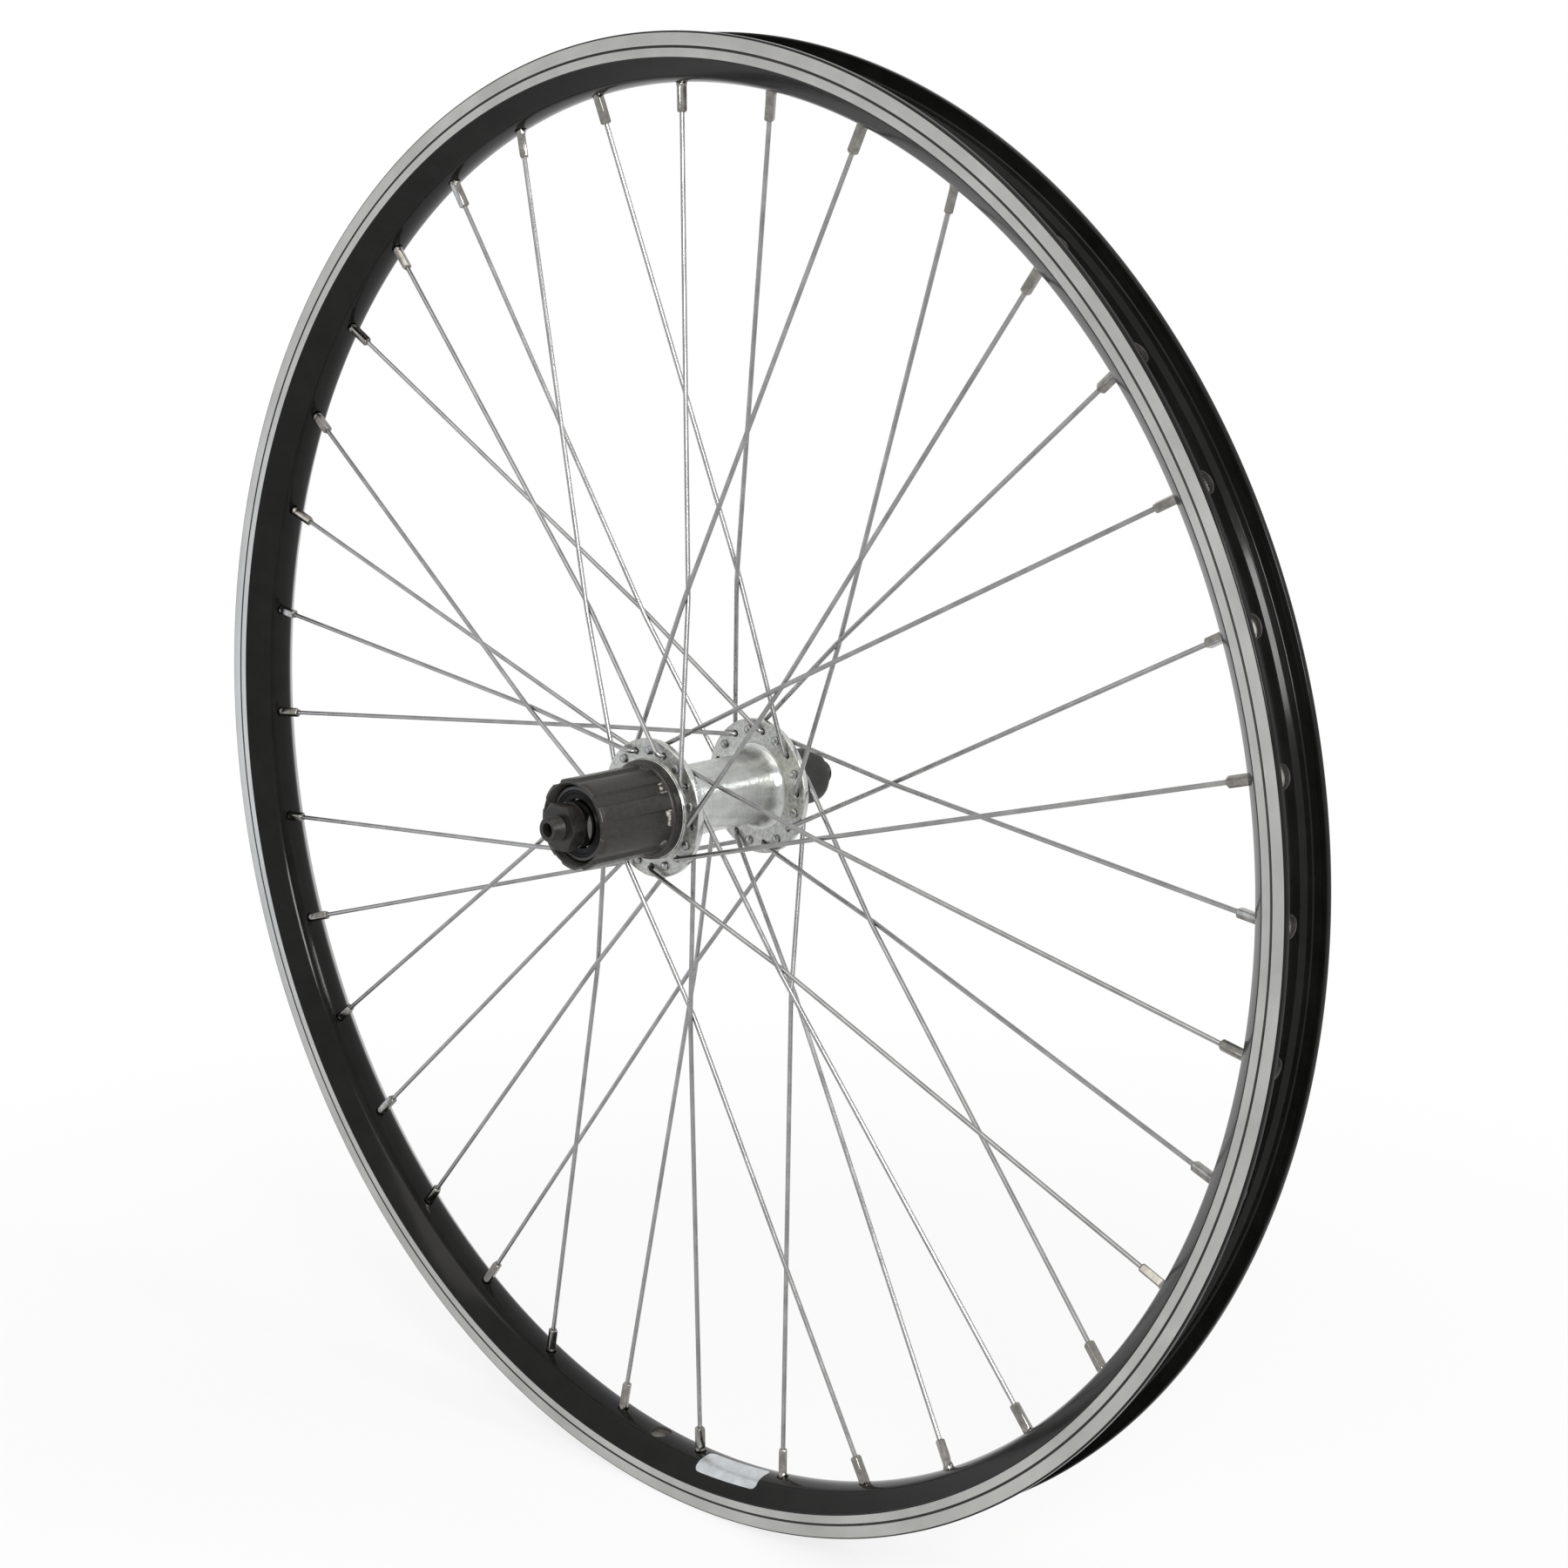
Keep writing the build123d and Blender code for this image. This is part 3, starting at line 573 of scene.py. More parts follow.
@dataclass
class Rim:
    """A double-walled rim, bent from one extrusion, with machined brake tracks."""

    radius: float = 285.5
    half: float = 12.45
    bed_radius: float = 267.6
    bed_half: float = 5.0
    bed_flat: float = 4.6
    bed_crown: float = 0.035
    bed_round: float = 5.0
    floor_radius: float = 269.3
    floor_half: float = 4.27
    track_bottom: float = 275.9
    track_round: float = 1.0
    track_margin: float = 0.3
    track_skin: float = 0.12
    groove_radius: float = 279.9
    groove_half: float = 0.45
    groove_depth: float = 0.4
    groove_edge: float = 0.08
    groove_round: float = 0.2
    lip_width: float = 2.5
    lip_round: float = 0.7
    lip_inner_round: float = 0.5
    hook_depth: float = 2.7
    hook_round: float = 0.8
    side_wall: float = 1.85
    seat_radius: float = 279.5
    seat_width: float = 3.2
    seat_round: float = 0.9
    well_radius: float = 277.9
    well_depth: float = 1.6
    well_round: float = 0.4
    well_flat: float = 5.6
    roof_radius: float = 276.3
    roof_half: float = 10.2
    chamber_skin: float = 0.2
    nipple_hole: float = 2.3
    access_hole: float = 4.0
    valve_hole: float = 4.25
    hole_edge: float = 0.2
    spokes: int = 36
    phase: float = 0.57
    valve_sector: int = 26
    across_steps: int = 8
    up_steps: int = 6
    hole_rows: int = 5

    def build(self, lacing: "Lacing") -> None:
        """Build and dress the rim.

        The outside is its profile turned about the axle. Bed, floor, roof and well are strips of a
        cylinder in two short sectors for each spoke, and a sector with a hole runs from it to its edge.

        Args:
            lacing: the spokes' places, for holes in line with them.
        """
        shell = Shell()
        angles = whole_turn(2 * self.spokes * self.across_steps, self.phase - 90 / self.spokes)
        wall = np.array([[self.floor_radius, self.floor_half], [self.roof_radius, self.roof_half]])
        for profile in (self.side_profile(), wall):
            shell.add(turned(profile, angles), turned(profile * OTHER_SIDE, angles))
        bed = self.strip(shell, self.bed_radius, self.bed_flat, lacing.shift(self.bed_radius),
                         self.nipple_hole + self.hole_edge, self.valve_hole + self.hole_edge,
                         self.bed_crown)
        floor = self.strip(shell, self.floor_radius, self.floor_half, lacing.shift(self.floor_radius),
                           self.nipple_hole, self.valve_hole)
        still = np.zeros((self.spokes, 2))
        roof = self.strip(shell, self.roof_radius, self.roof_half, still, self.access_hole, self.valve_hole)
        well = self.strip(shell, self.well_radius, self.well_flat, still,
                          self.access_hole + self.hole_edge, self.valve_hole + self.hole_edge)
        self.hole_walls(shell, bed, floor, self.bed_radius + self.hole_edge, self.nipple_hole, lacing,
                        self.bed_crown)
        self.hole_walls(shell, well, roof, self.well_radius - self.hole_edge, self.access_hole)
        shell.make("rim_dressed", (ANODISED, TRACK, GROOVE, DRILLED, PALE_CHAMBER_GLINT), Body.WHEEL, Slot.RIM,
                   "rim", self.finish_of)

    def bed_edge(self) -> tuple:
        """Where the crowned bed ends, and the corner in which its slope meets the side wall.

        Returns:
            The end and the corner, each a radius and a place on the left half.
        """
        end = self.bed_radius + self.bed_crown * self.bed_flat**2
        slope = 2 * self.bed_crown * self.bed_flat
        wall = (self.track_bottom - self.bed_radius) / (self.half - self.bed_half)
        place = (end - self.bed_radius - slope * self.bed_flat + wall * self.bed_half) / (wall - slope)
        return (end, self.bed_flat), (self.bed_radius + wall * (place - self.bed_half), place)

    def side_profile(self) -> Array:
        """The left half of the outside, from the bed's flat round the lip to the well's flat.

        Returns:
            Radius and place of the profile's points.
        """
        seat_half = self.half - self.side_wall
        well_half = seat_half - self.seat_width
        groove_low = self.groove_radius - self.groove_half
        groove_high = self.groove_radius + self.groove_half
        end, corner = self.bed_edge()
        return rounded([
            (*end, 0),
            (*corner, self.bed_round),
            (self.track_bottom, self.half, self.track_round),
            (groove_low, self.half, self.groove_edge),
            (self.groove_radius, self.half - self.groove_depth, self.groove_round),
            (groove_high, self.half, self.groove_edge),
            (self.radius, self.half, self.lip_round),
            (self.radius, self.half - self.lip_width, self.lip_inner_round),
            (self.radius - self.hook_depth, seat_half, self.hook_round),
            (self.seat_radius, seat_half, self.hook_round),
            (self.seat_radius, well_half, self.seat_round),
            (self.well_radius, well_half - self.well_depth, self.well_round),
            (self.well_radius, self.well_flat, 0),
        ])

    def sector_centres(self) -> tuple:
        """The angles of the sectors with nipples, and of those between them."""
        step = 360 / self.spokes
        holed = self.phase + step * np.arange(self.spokes)
        return holed, holed + step / 2

    def strip(
        self,
        shell: Shell,
        radius: float,
        half: float,
        shift: Array,
        hole: float,
        valve: float,
        crown: float = 0.0,
    ) -> tuple:
        """Add a strip of a cylinder with a hole in every second sector, and the valve's hole.

        Args:
            shell: where the grids go.
            radius: the cylinder's radius.
            half: half the strip's width.
            shift: each hole's place along the rim and across it, from its sector's middle.
            hole: the holes' radius.
            valve: the valve hole's radius.
            crown: how much the radius grows with the square of the place across.

        Returns:
            The rings of points at the holes' edges and at the valve hole's edge.
        """
        width = radius * math.radians(90 / self.spokes)
        outline = frame_of(-width, width, -half, half, self.across_steps, self.up_steps)
        holed, plain = self.sector_centres()
        rings = circle_in(outline, hole)[None] + shift[:, None, :]
        grid = between(rings, outline[None], self.hole_rows)
        shell.add(self.on_cylinder(radius, holed[:, None, None], grid, crown))
        ring = circle_in(outline, valve)
        valve_angle = plain[self.valve_sector]
        shell.add(self.on_cylinder(radius, valve_angle, between(ring, outline, self.hole_rows), crown))
        others = np.delete(plain, self.valve_sector)
        along = np.linspace(-width, width, self.across_steps + 1)
        up = np.linspace(-half, half, self.up_steps + 1)
        flat = np.stack(np.meshgrid(along, up, indexing="ij"), axis=-1)
        shell.add(self.on_cylinder(radius, others[:, None, None], flat[None], crown))
        return (self.on_cylinder(radius, holed[:, None], rings, crown),
                self.on_cylinder(radius, valve_angle, ring, crown))

    @staticmethod
    def on_cylinder(radius: float, centre: Array, flat: Array, crown: float) -> Array:
        """Wrap flat points round the axle, along the rim and across it, on a crowned cylinder."""
        angle = centre + np.degrees(flat[..., 0] / radius)
        return about_axle(radius + crown * flat[..., 1]**2, flat[..., 1], angle)

    def hole_walls(
        self,
        shell: Shell,
        edge: tuple,
        far: tuple,
        throat: float,
        hole: float,
        lacing: Optional["Lacing"] = None,
        crown: float = 0.0,
    ) -> None:
        """Add the walls of holes: a small bevel from the edge to the throat, then straight to the far side.

        Args:
            shell: where the grids go.
            edge: rings at the outer faces.
            far: rings at the chamber's faces.
            throat: the radius about the axle where the bevel ends.
            hole: the holes' radius.
            lacing: the spokes' places, where the holes follow them.
            crown: how much the radius grows with the square of the place across.
        """
        width = throat * math.radians(90 / self.spokes)
        half = self.bed_flat if lacing else self.well_flat
        outline = frame_of(-width, width, -half, half, self.across_steps, self.up_steps)
        shift = lacing.shift(throat)[:, None] if lacing else 0
        holed, plain = self.sector_centres()
        centres = (holed[:, None], plain[self.valve_sector])
        circles = (circle_in(outline, hole) + shift, circle_in(outline, self.valve_hole))
        for near, end, centre, circle in zip(edge, far, centres, circles):
            ring = self.on_cylinder(throat, centre, circle, crown)
            shell.add(between(near, ring, 1), between(ring, end, 1))

    def finish_of(self, centres: Array) -> dict:
        """Which faces are grooves, bare tracks, drilled walls and the chamber's inside. The rest is black.

        Args:
            centres: the faces' middles.

        Returns:
            The faces of each finish. Where two claim a face, the first has it.
        """
        radius = np.hypot(centres[:, 0], centres[:, 2])
        across = np.abs(centres[:, 1])
        outer = across > self.half - self.track_skin
        band = (radius > self.track_bottom + self.track_margin) & (radius < self.radius - self.lip_round)
        groove = np.abs(radius - self.groove_radius) < self.groove_half + NEAR
        groove &= across > self.half - self.groove_depth - 2 * NEAR
        drilled = across < self.well_flat
        drilled &= (radius > self.roof_radius + 2 * NEAR) & (radius < self.well_radius - NEAR)
        above_bed = radius - self.bed_radius - self.bed_crown * across**2
        drilled |= (across < self.bed_flat) & (above_bed > NEAR) & (radius < self.floor_radius - 2 * NEAR)
        # The chamber's inside, drawn pale as a painted highlight seen through the holes
        slope = (self.roof_half - self.floor_half) / (self.roof_radius - self.floor_radius)
        inside = across < self.floor_half + slope * (radius - self.floor_radius) + self.chamber_skin
        inside &= (radius > self.floor_radius - NEAR) & (radius < self.roof_radius + NEAR)
        return {GROOVE: groove, TRACK: outer & band, DRILLED: drilled, PALE_CHAMBER_GLINT: inside}


@dataclass
class Plate:
    """A bare foil plate, stuck over the edge between the rim's bed and its side."""

    first_angle: float = 271.7
    last_angle: float = 279.0
    bed_reach: float = 1.6
    wall_radius: float = 271.6
    corner: float = 2.2
    lift: float = 0.04
    thickness: float = 0.1
    bed_rows: int = 12
    rows: int = 41
    columns: int = 25

    def build(self, rim: Rim) -> None:
        """Build and dress the plate.

        It follows the rim's profile, from the bed over the rounded edge and down the side, and goes a few
        degrees round the axle. Near its first and last rows the width shrinks as a quarter circle does.

        Args:
            rim: the rim that it is stuck on.
        """
        across_bed = np.linspace(self.bed_reach, -rim.bed_flat, self.bed_rows)
        bed = np.stack([rim.bed_radius + rim.bed_crown * across_bed**2, across_bed], axis=1)
        bend = rim.side_profile()[1:1 + ARC_STEPS] * OTHER_SIDE
        share = (self.wall_radius - bend[-1, 0]) / (rim.track_bottom - bend[-1, 0])
        foot = bend[-1] + share * (np.array([rim.track_bottom, -rim.half]) - bend[-1])
        path = np.concatenate([bed, bend, foot[None]])
        length = np.concatenate([[0], np.cumsum(np.linalg.norm(np.diff(path, axis=0), axis=1))])
        even = np.linspace(0, 1, self.rows) * length[-1]
        middle = np.stack([np.interp(even, length, path[:, axis]) for axis in (0, 1)], axis=1)
        slope = unit(np.gradient(middle, axis=0))
        normal = np.stack([slope[:, 1], -slope[:, 0]], axis=1)
        normal *= np.sign(-normal[:1, :1])
        gap = np.clip(self.corner - np.minimum(even, length[-1] - even), 0, None)
        shrink = self.corner - np.sqrt(self.corner**2 - gap**2)
        middle_angle = (self.first_angle + self.last_angle) / 2
        half = math.radians(self.last_angle - middle_angle) * rim.bed_radius
        across = np.linspace(-1, 1, self.columns)[None] * (half - shrink)[:, None]
        angle = middle_angle + np.degrees(across / rim.bed_radius)
        sheets = []
        for height in (self.lift, self.lift + self.thickness):
            line = middle + normal * height
            sheets.append(about_axle(line[:, :1], line[:, 1:], angle))
        under, over = sheets
        shell = Shell().add(under, over)
        for edge in (np.s_[0], np.s_[-1], np.s_[:, 0], np.s_[:, -1]):
            shell.add(np.stack([under[edge], over[edge]]))
        shell.make("bare_plate", (FOIL,), Body.WHEEL, Slot.ALLOY, None)


# Spokes and nipples


@dataclass
class Lacing:
    """36 wire spokes, three-cross, and the nipples that pull them to the rim."""

    count: int = 36
    crosses: int = 3
    phase: float = 0.57
    wire: float = 0.9
    head_radius: float = 1.75
    head_height: float = 1.1
    outer_reach: float = 2.8
    inner_reach: float = 1.15
    crossing_gap: float = 0.12
    hole_circle: float = 22.5
    flange_half: float = 1.4
    drive_flange: float = -19.8
    left_flange: float = 35.8
    seat_radius: float = 269.3
    engagement: float = 0.5
    elbow_round: float = 2.6
    crossing_round: float = 60.0
    bend_steps: int = 9
    sides: int = 16
    nipple_length: float = 12.5
    nipple_bore: float = 0.95
    nipple_flats: float = 1.6
    nipple_collar: float = 2.4
    nipple_round: float = 2.0
    nipple_head: float = 3.0
    nipple_twist: float = 37.0
    nipple_sides: int = 32
    head_top: float = 2.4

    def __post_init__(self) -> None:
        """Work out each spoke's head, elbow, last crossing and rim seat."""
        index = np.arange(self.count)
        pitch = 360 / self.count
        self.angle = self.phase + index * pitch
        on_left = index % 2 == 0
        outside = np.isin(index % 4, (0, 1))
        outward = np.where(on_left, 1, -1)
        face = np.where(outside, outward, -outward)
        lean = np.where(np.isin(index % 4, (0, 3)), 1, -1)
        flange = np.where(on_left, self.left_flange, self.drive_flange)
        reach = np.where(outside, self.outer_reach, self.inner_reach)
        swing = lean * self.crosses * 2 * pitch
        hub_angle = self.angle + swing
        self.head = about_axle(self.hole_circle, flange - face * self.flange_half, hub_angle)
        self.elbow = about_axle(self.hole_circle, flange + face * (self.flange_half + reach), hub_angle)
        self.seat = about_axle(self.seat_radius, np.zeros(self.count), self.angle)
        hub_x = self.hole_circle * np.cos(np.radians(swing))
        hub_z = self.hole_circle * np.sin(np.radians(swing))
        slope = np.tan(np.radians(lean * pitch))
        share = (hub_z - slope * hub_x) / (slope * (self.seat_radius - hub_x) + hub_z)
        start = about_axle(self.hole_circle, flange, hub_angle)
        self.cross = start + (self.seat - start) * share[:, None]
        self.cross[:, 1] -= face * (self.wire + self.crossing_gap / 2)
        self.direction = unit(self.seat - self.cross)
        self.tip = self.seat + self.direction * self.engagement

    def shift(self, radius: float) -> Array:
        """How far each spoke's line is from its rim angle where it has a radius.

        Args:
            radius: the radius about the axle.

        Returns:
            The place along the rim and across it, one row for each spoke.
        """
        outward = about_axle(1.0, np.zeros(self.count), self.angle)
        around = about_axle(1.0, np.zeros(self.count), self.angle + 90)
        run = (radius - self.seat_radius) / (self.direction * outward).sum(axis=1)
        return np.stack([(self.direction * around).sum(axis=1) * run, self.direction[:, 1] * run], axis=1)

    def build_spokes(self) -> None:
        """Build and dress the spokes.

        A spoke is a circle carried along its line: out through the flange, round the elbow, and straight
        to the rim but for a slight bend at its last crossing. The circle's radius makes the domed head.
        """
        leg = unit(self.elbow - self.head)
        start = self.head - leg * self.head_height
        wire_line = filleted(
            np.stack([start, self.elbow, self.cross, self.tip], axis=1),
            np.array([self.elbow_round, self.crossing_round]),
            self.bend_steps,
        )
        # The head's rings, as shares of its height and its radius, from the dome's top to the wire
        rise = np.array([0.0, 0.03, 0.15, 0.4, 0.75, 0.9, 1.0, 1.2]) * self.head_height
        width = np.array([0.0, 0.45, 0.85, 1.0, 0.95, 0.75, 0.6, self.wire / self.head_radius])
        head_line = start[:, None] + leg[:, None] * rise[None, :, None]
        line = np.concatenate([head_line, wire_line[:, 1:], wire_line[:, -1:]], axis=1)
        wire_radius = np.full(wire_line.shape[1] - 1, self.wire)
        radius = np.concatenate([width * self.head_radius, wire_radius, [0.0]])
        tangent = np.gradient(line, axis=1)
        tangent[:, -2:] = tangent[:, -3:-2]
        tangent[:, :len(rise)] = leg[:, None]
        tangent = unit(tangent)
        side = np.cross(leg, self.cross - self.elbow)[:, None]
        side = unit(side - (side * tangent).sum(axis=-1, keepdims=True) * tangent)
        third = np.cross(tangent, side)
        turn = np.linspace(0, 2 * math.pi, self.sides + 1)[:, None]
        ring = np.cos(turn) * side[:, :, None] + np.sin(turn) * third[:, :, None]
        grids = line[:, :, None] + radius[None, :, None, None] * ring
        for number, grid in enumerate(grids, start=1):
            node = f"spoke_{number:02d}"
            Shell().add(grid).make(node + "_wire", (WIRE,), Body.WHEEL, Slot.SPOKE, node)

    def build_nipples(self) -> None:
        """Build and dress the nipples.

        A nipple is a section carried along its spoke's line. The section is a power curve, whose exponent
        goes from a rounded square on the wrench part to a circle in the collar and the head.
        """
        bore, flats = self.nipple_bore, self.nipple_flats
        collar, head = self.nipple_round, self.nipple_head
        low, step, top = -self.nipple_length, -self.nipple_collar, self.head_top
        # Height along the spoke, half width and exponent of each section
        stations = np.array([
            (low + 2.0, 0.0, 2), (low + 2.0, bore, 2), (low, bore, 2), (low, bore + 0.2, 2),
            (low + 0.05, 1.38, 2.6), (low + 0.35, flats - 0.08, 5), (low + 0.7, flats, 8),
            (step - 1.2, flats, 8), (step - 0.5, flats + 0.1, 5), (step, collar, 2.4),
            (step + 0.3, collar, 2), (0.15, collar, 2), (1.2, head, 2), (1.9, head, 2),
            (2.25, head - 0.3, 2), (top, head - 0.9, 2), (top, 0.0, 2),
        ])
        turn = np.linspace(0, 2 * math.pi, self.nipple_sides + 1)
        power = 2 / stations[:, 2:]
        across = np.sign(np.cos(turn)) * np.abs(np.cos(turn)) ** power * stations[:, 1:2]
        up = np.sign(np.sin(turn)) * np.abs(np.sin(turn)) ** power * stations[:, 1:2]
        side = unit(np.cross(self.direction, (0.0, 1.0, 0.0)))
        third = np.cross(self.direction, side)
        # Each nipple stops at its own turn
        twist = np.radians(np.arange(self.count) * self.nipple_twist % 90)[:, None]
        first = np.cos(twist) * side + np.sin(twist) * third
        second = np.cos(twist) * third - np.sin(twist) * side
        grid = (
            self.seat[:, None, None]
            + stations[None, :, :1, None] * self.direction[:, None, None]
            + across[None, ..., None] * first[:, None, None]
            + up[None, ..., None] * second[:, None, None]
        )
        Shell().add(grid).make("nipples_plated", (NICKEL,), Body.WHEEL, Slot.NIPPLE, "nipples")


# Hub shell


@dataclass
class HubShell:
    """A forged and turned hub shell: a flared barrel between two drilled flanges."""

    flange_radius: float = 26.7
    flange_round: float = 0.7
    drive_outer: float = -21.2
    drive_inner: float = -18.4
    left_inner: float = 34.4
    left_outer: float = 37.2
    hole_circle: float = 22.5
    hole_radius: float = 1.2
    hole_edge: float = 0.25
    face_low: float = 20.4
    face_high: float = 25.8
    face_skin: float = 0.3
    flare_radius: float = 17.0
    flare_length: float = 5.0
    flare_share: float = 0.985
    flare_rows: int = 25
    polish_reach: float = 0.5
    barrel_radius: float = 13.7
    drive_boss: float = 19.2
    drive_end: float = -22.2
    drive_foot_round: float = 0.4
    left_boss: float = 16.0
    left_end: float = 47.5
    left_end_round: float = 0.8
    left_foot_round: float = 2.0
    edge_round: float = 0.3
    spigot_hole: float = 12.05
    spigot_end: float = -14.2
    bolt_hole: float = 6.83
    bolt_end: float = -5.2
    bore: float = 10.0
    cup_hole: float = 13.895
    cup_seat: float = 36.04
    holes: int = 18
    phase: float = 0.57
    across_steps: int = 8
    up_steps: int = 5
    hole_rows: int = 4

    def build(self) -> None:
        """Build and dress the hub shell.

        The barrel, bosses and flange edges are profiles turned about the axle. Each flange face is a ring
        of sectors that run from a spoke hole to the sector's edge.
        """
        angles = whole_turn(self.holes * self.across_steps, self.phase)
        shell = Shell().add(turned(self.barrel(), angles), turned(self.inside(), angles))
        for outer, inner, outward, start in (
            (self.drive_outer, self.drive_inner, -1, 180 / self.holes),
            (self.left_outer, self.left_inner, 1, 0.0),
        ):
            centres = self.phase + start + 360 / self.holes * np.arange(self.holes)
            shell.add(turned(self.flange_edge(outer, inner), angles))
            near = self.face(shell, centres, outer)
            far = self.face(shell, centres, inner)
            shell.add(self.hole_wall(near, far, -outward))
        shell.make("hub_shell_turned", (POLISHED, TUMBLED), Body.WHEEL, Slot.ALLOY, "hub_shell",
                   self.finish_of)

    def barrel(self) -> Array:
        """The barrel with its two flares, as far as the flat of each flange's inner face.

        Each flare is nearly a quarter of an ellipse, level at the barrel and steep at the flange.

        Returns:
            Radius and place of the profile's points.
        """
        share = np.linspace(0, 1, self.flare_rows)
        fall = 1 - np.sqrt(1 - share**2 * self.flare_share)
        flare = self.barrel_radius + (self.flare_radius - self.barrel_radius) * fall / fall[-1]
        start = self.drive_inner + self.flare_length * (1 - share[::-1])
        end = self.left_inner - self.flare_length * (1 - share)
        drive = np.stack([flare[::-1], start], axis=1)
        left = np.stack([flare, end], axis=1)
        return np.concatenate([
            [[self.face_low, self.drive_inner]], drive, left, [[self.face_low, self.left_inner]]
        ])

    def inside(self) -> Array:
        """The bosses and the stepped bore, from one flange's outer face round to the other's.

        Returns:
            Radius and place of the profile's points.
        """
        return rounded([
            (self.face_low, self.drive_outer, 0),
            (self.drive_boss, self.drive_outer, self.drive_foot_round),
            (self.drive_boss, self.drive_end, self.edge_round),
            (self.spigot_hole, self.drive_end, self.edge_round),
            (self.spigot_hole, self.spigot_end, 0),
            (self.bolt_hole, self.spigot_end, 0),
            (self.bolt_hole, self.bolt_end, 0),
            (self.bore, self.bolt_end, 0),
            (self.bore, self.cup_seat, 0),
            (self.cup_hole, self.cup_seat, 0),
            (self.cup_hole, self.left_end, self.edge_round),
            (self.left_boss, self.left_end, self.left_end_round),
            (self.left_boss, self.left_outer, self.left_foot_round),
            (self.face_low, self.left_outer, 0),
        ])

    def flange_edge(self, outer: float, inner: float) -> Array:
        """A flange's rounded edge, from one face to the other."""
        return rounded([
            (self.face_high, outer, 0),
            (self.flange_radius, outer, self.flange_round),
            (self.flange_radius, inner, self.flange_round),
            (self.face_high, inner, 0),
        ])

    def face(self, shell: Shell, centres: Array, along: float) -> Array:
        """Add one flange face.

        Args:
            shell: where the grids go.
            centres: the holes' angles.
            along: the face's place along the axle.

        Returns:
            The rings of points at the holes' edges and at their walls.
        """
        half = 180 / self.holes
        sector = frame_of(self.face_low, self.face_high, -half, half, self.up_steps, self.across_steps)
        turn = np.radians(sector[:, 1])
        outline = sector[:, :1] * np.stack([np.cos(turn), np.sin(turn)], axis=1) - (self.hole_circle, 0)
        edge = circle_in(outline, self.hole_radius + self.hole_edge)
        wall = circle_in(outline, self.hole_radius)
        grid = between(edge, outline, self.hole_rows)
        shell.add(self.on_face(grid[None], centres[:, None, None], along))
        return np.stack([self.on_face(ring[None], centres[:, None], along) for ring in (edge, wall)])

    def on_face(self, flat: Array, centre: Array, along: float) -> Array:
        """Turn flat points about the axle to a hole's place on a face."""
        radius = np.hypot(flat[..., 0] + self.hole_circle, flat[..., 1])
        angle = np.degrees(np.arctan2(flat[..., 1], flat[..., 0] + self.hole_circle))
        return about_axle(radius, along, centre + angle)

    def hole_wall(self, near: Array, far: Array, inward: int) -> Array:
        """The walls of a flange's holes, with a bevel at each end."""
        depth = np.array([0.0, inward * self.hole_edge, 0.0])
        return np.stack([near[0], near[1] + depth, far[1] - depth, far[0]], axis=1)

    def finish_of(self, centres: Array) -> dict:
        """Which faces are dull: those on the flanges' flats. The rest is polished."""
        radius = np.hypot(centres[:, 0], centres[:, 2])
        flats = np.array([self.drive_outer, self.drive_inner, self.left_inner, self.left_outer])
        on_flat = (np.abs(centres[:, 1:2] - flats) < self.face_skin).any(axis=1)
        return {TUMBLED: on_flat & (radius > self.flare_radius + self.polish_reach)}


# Freehub


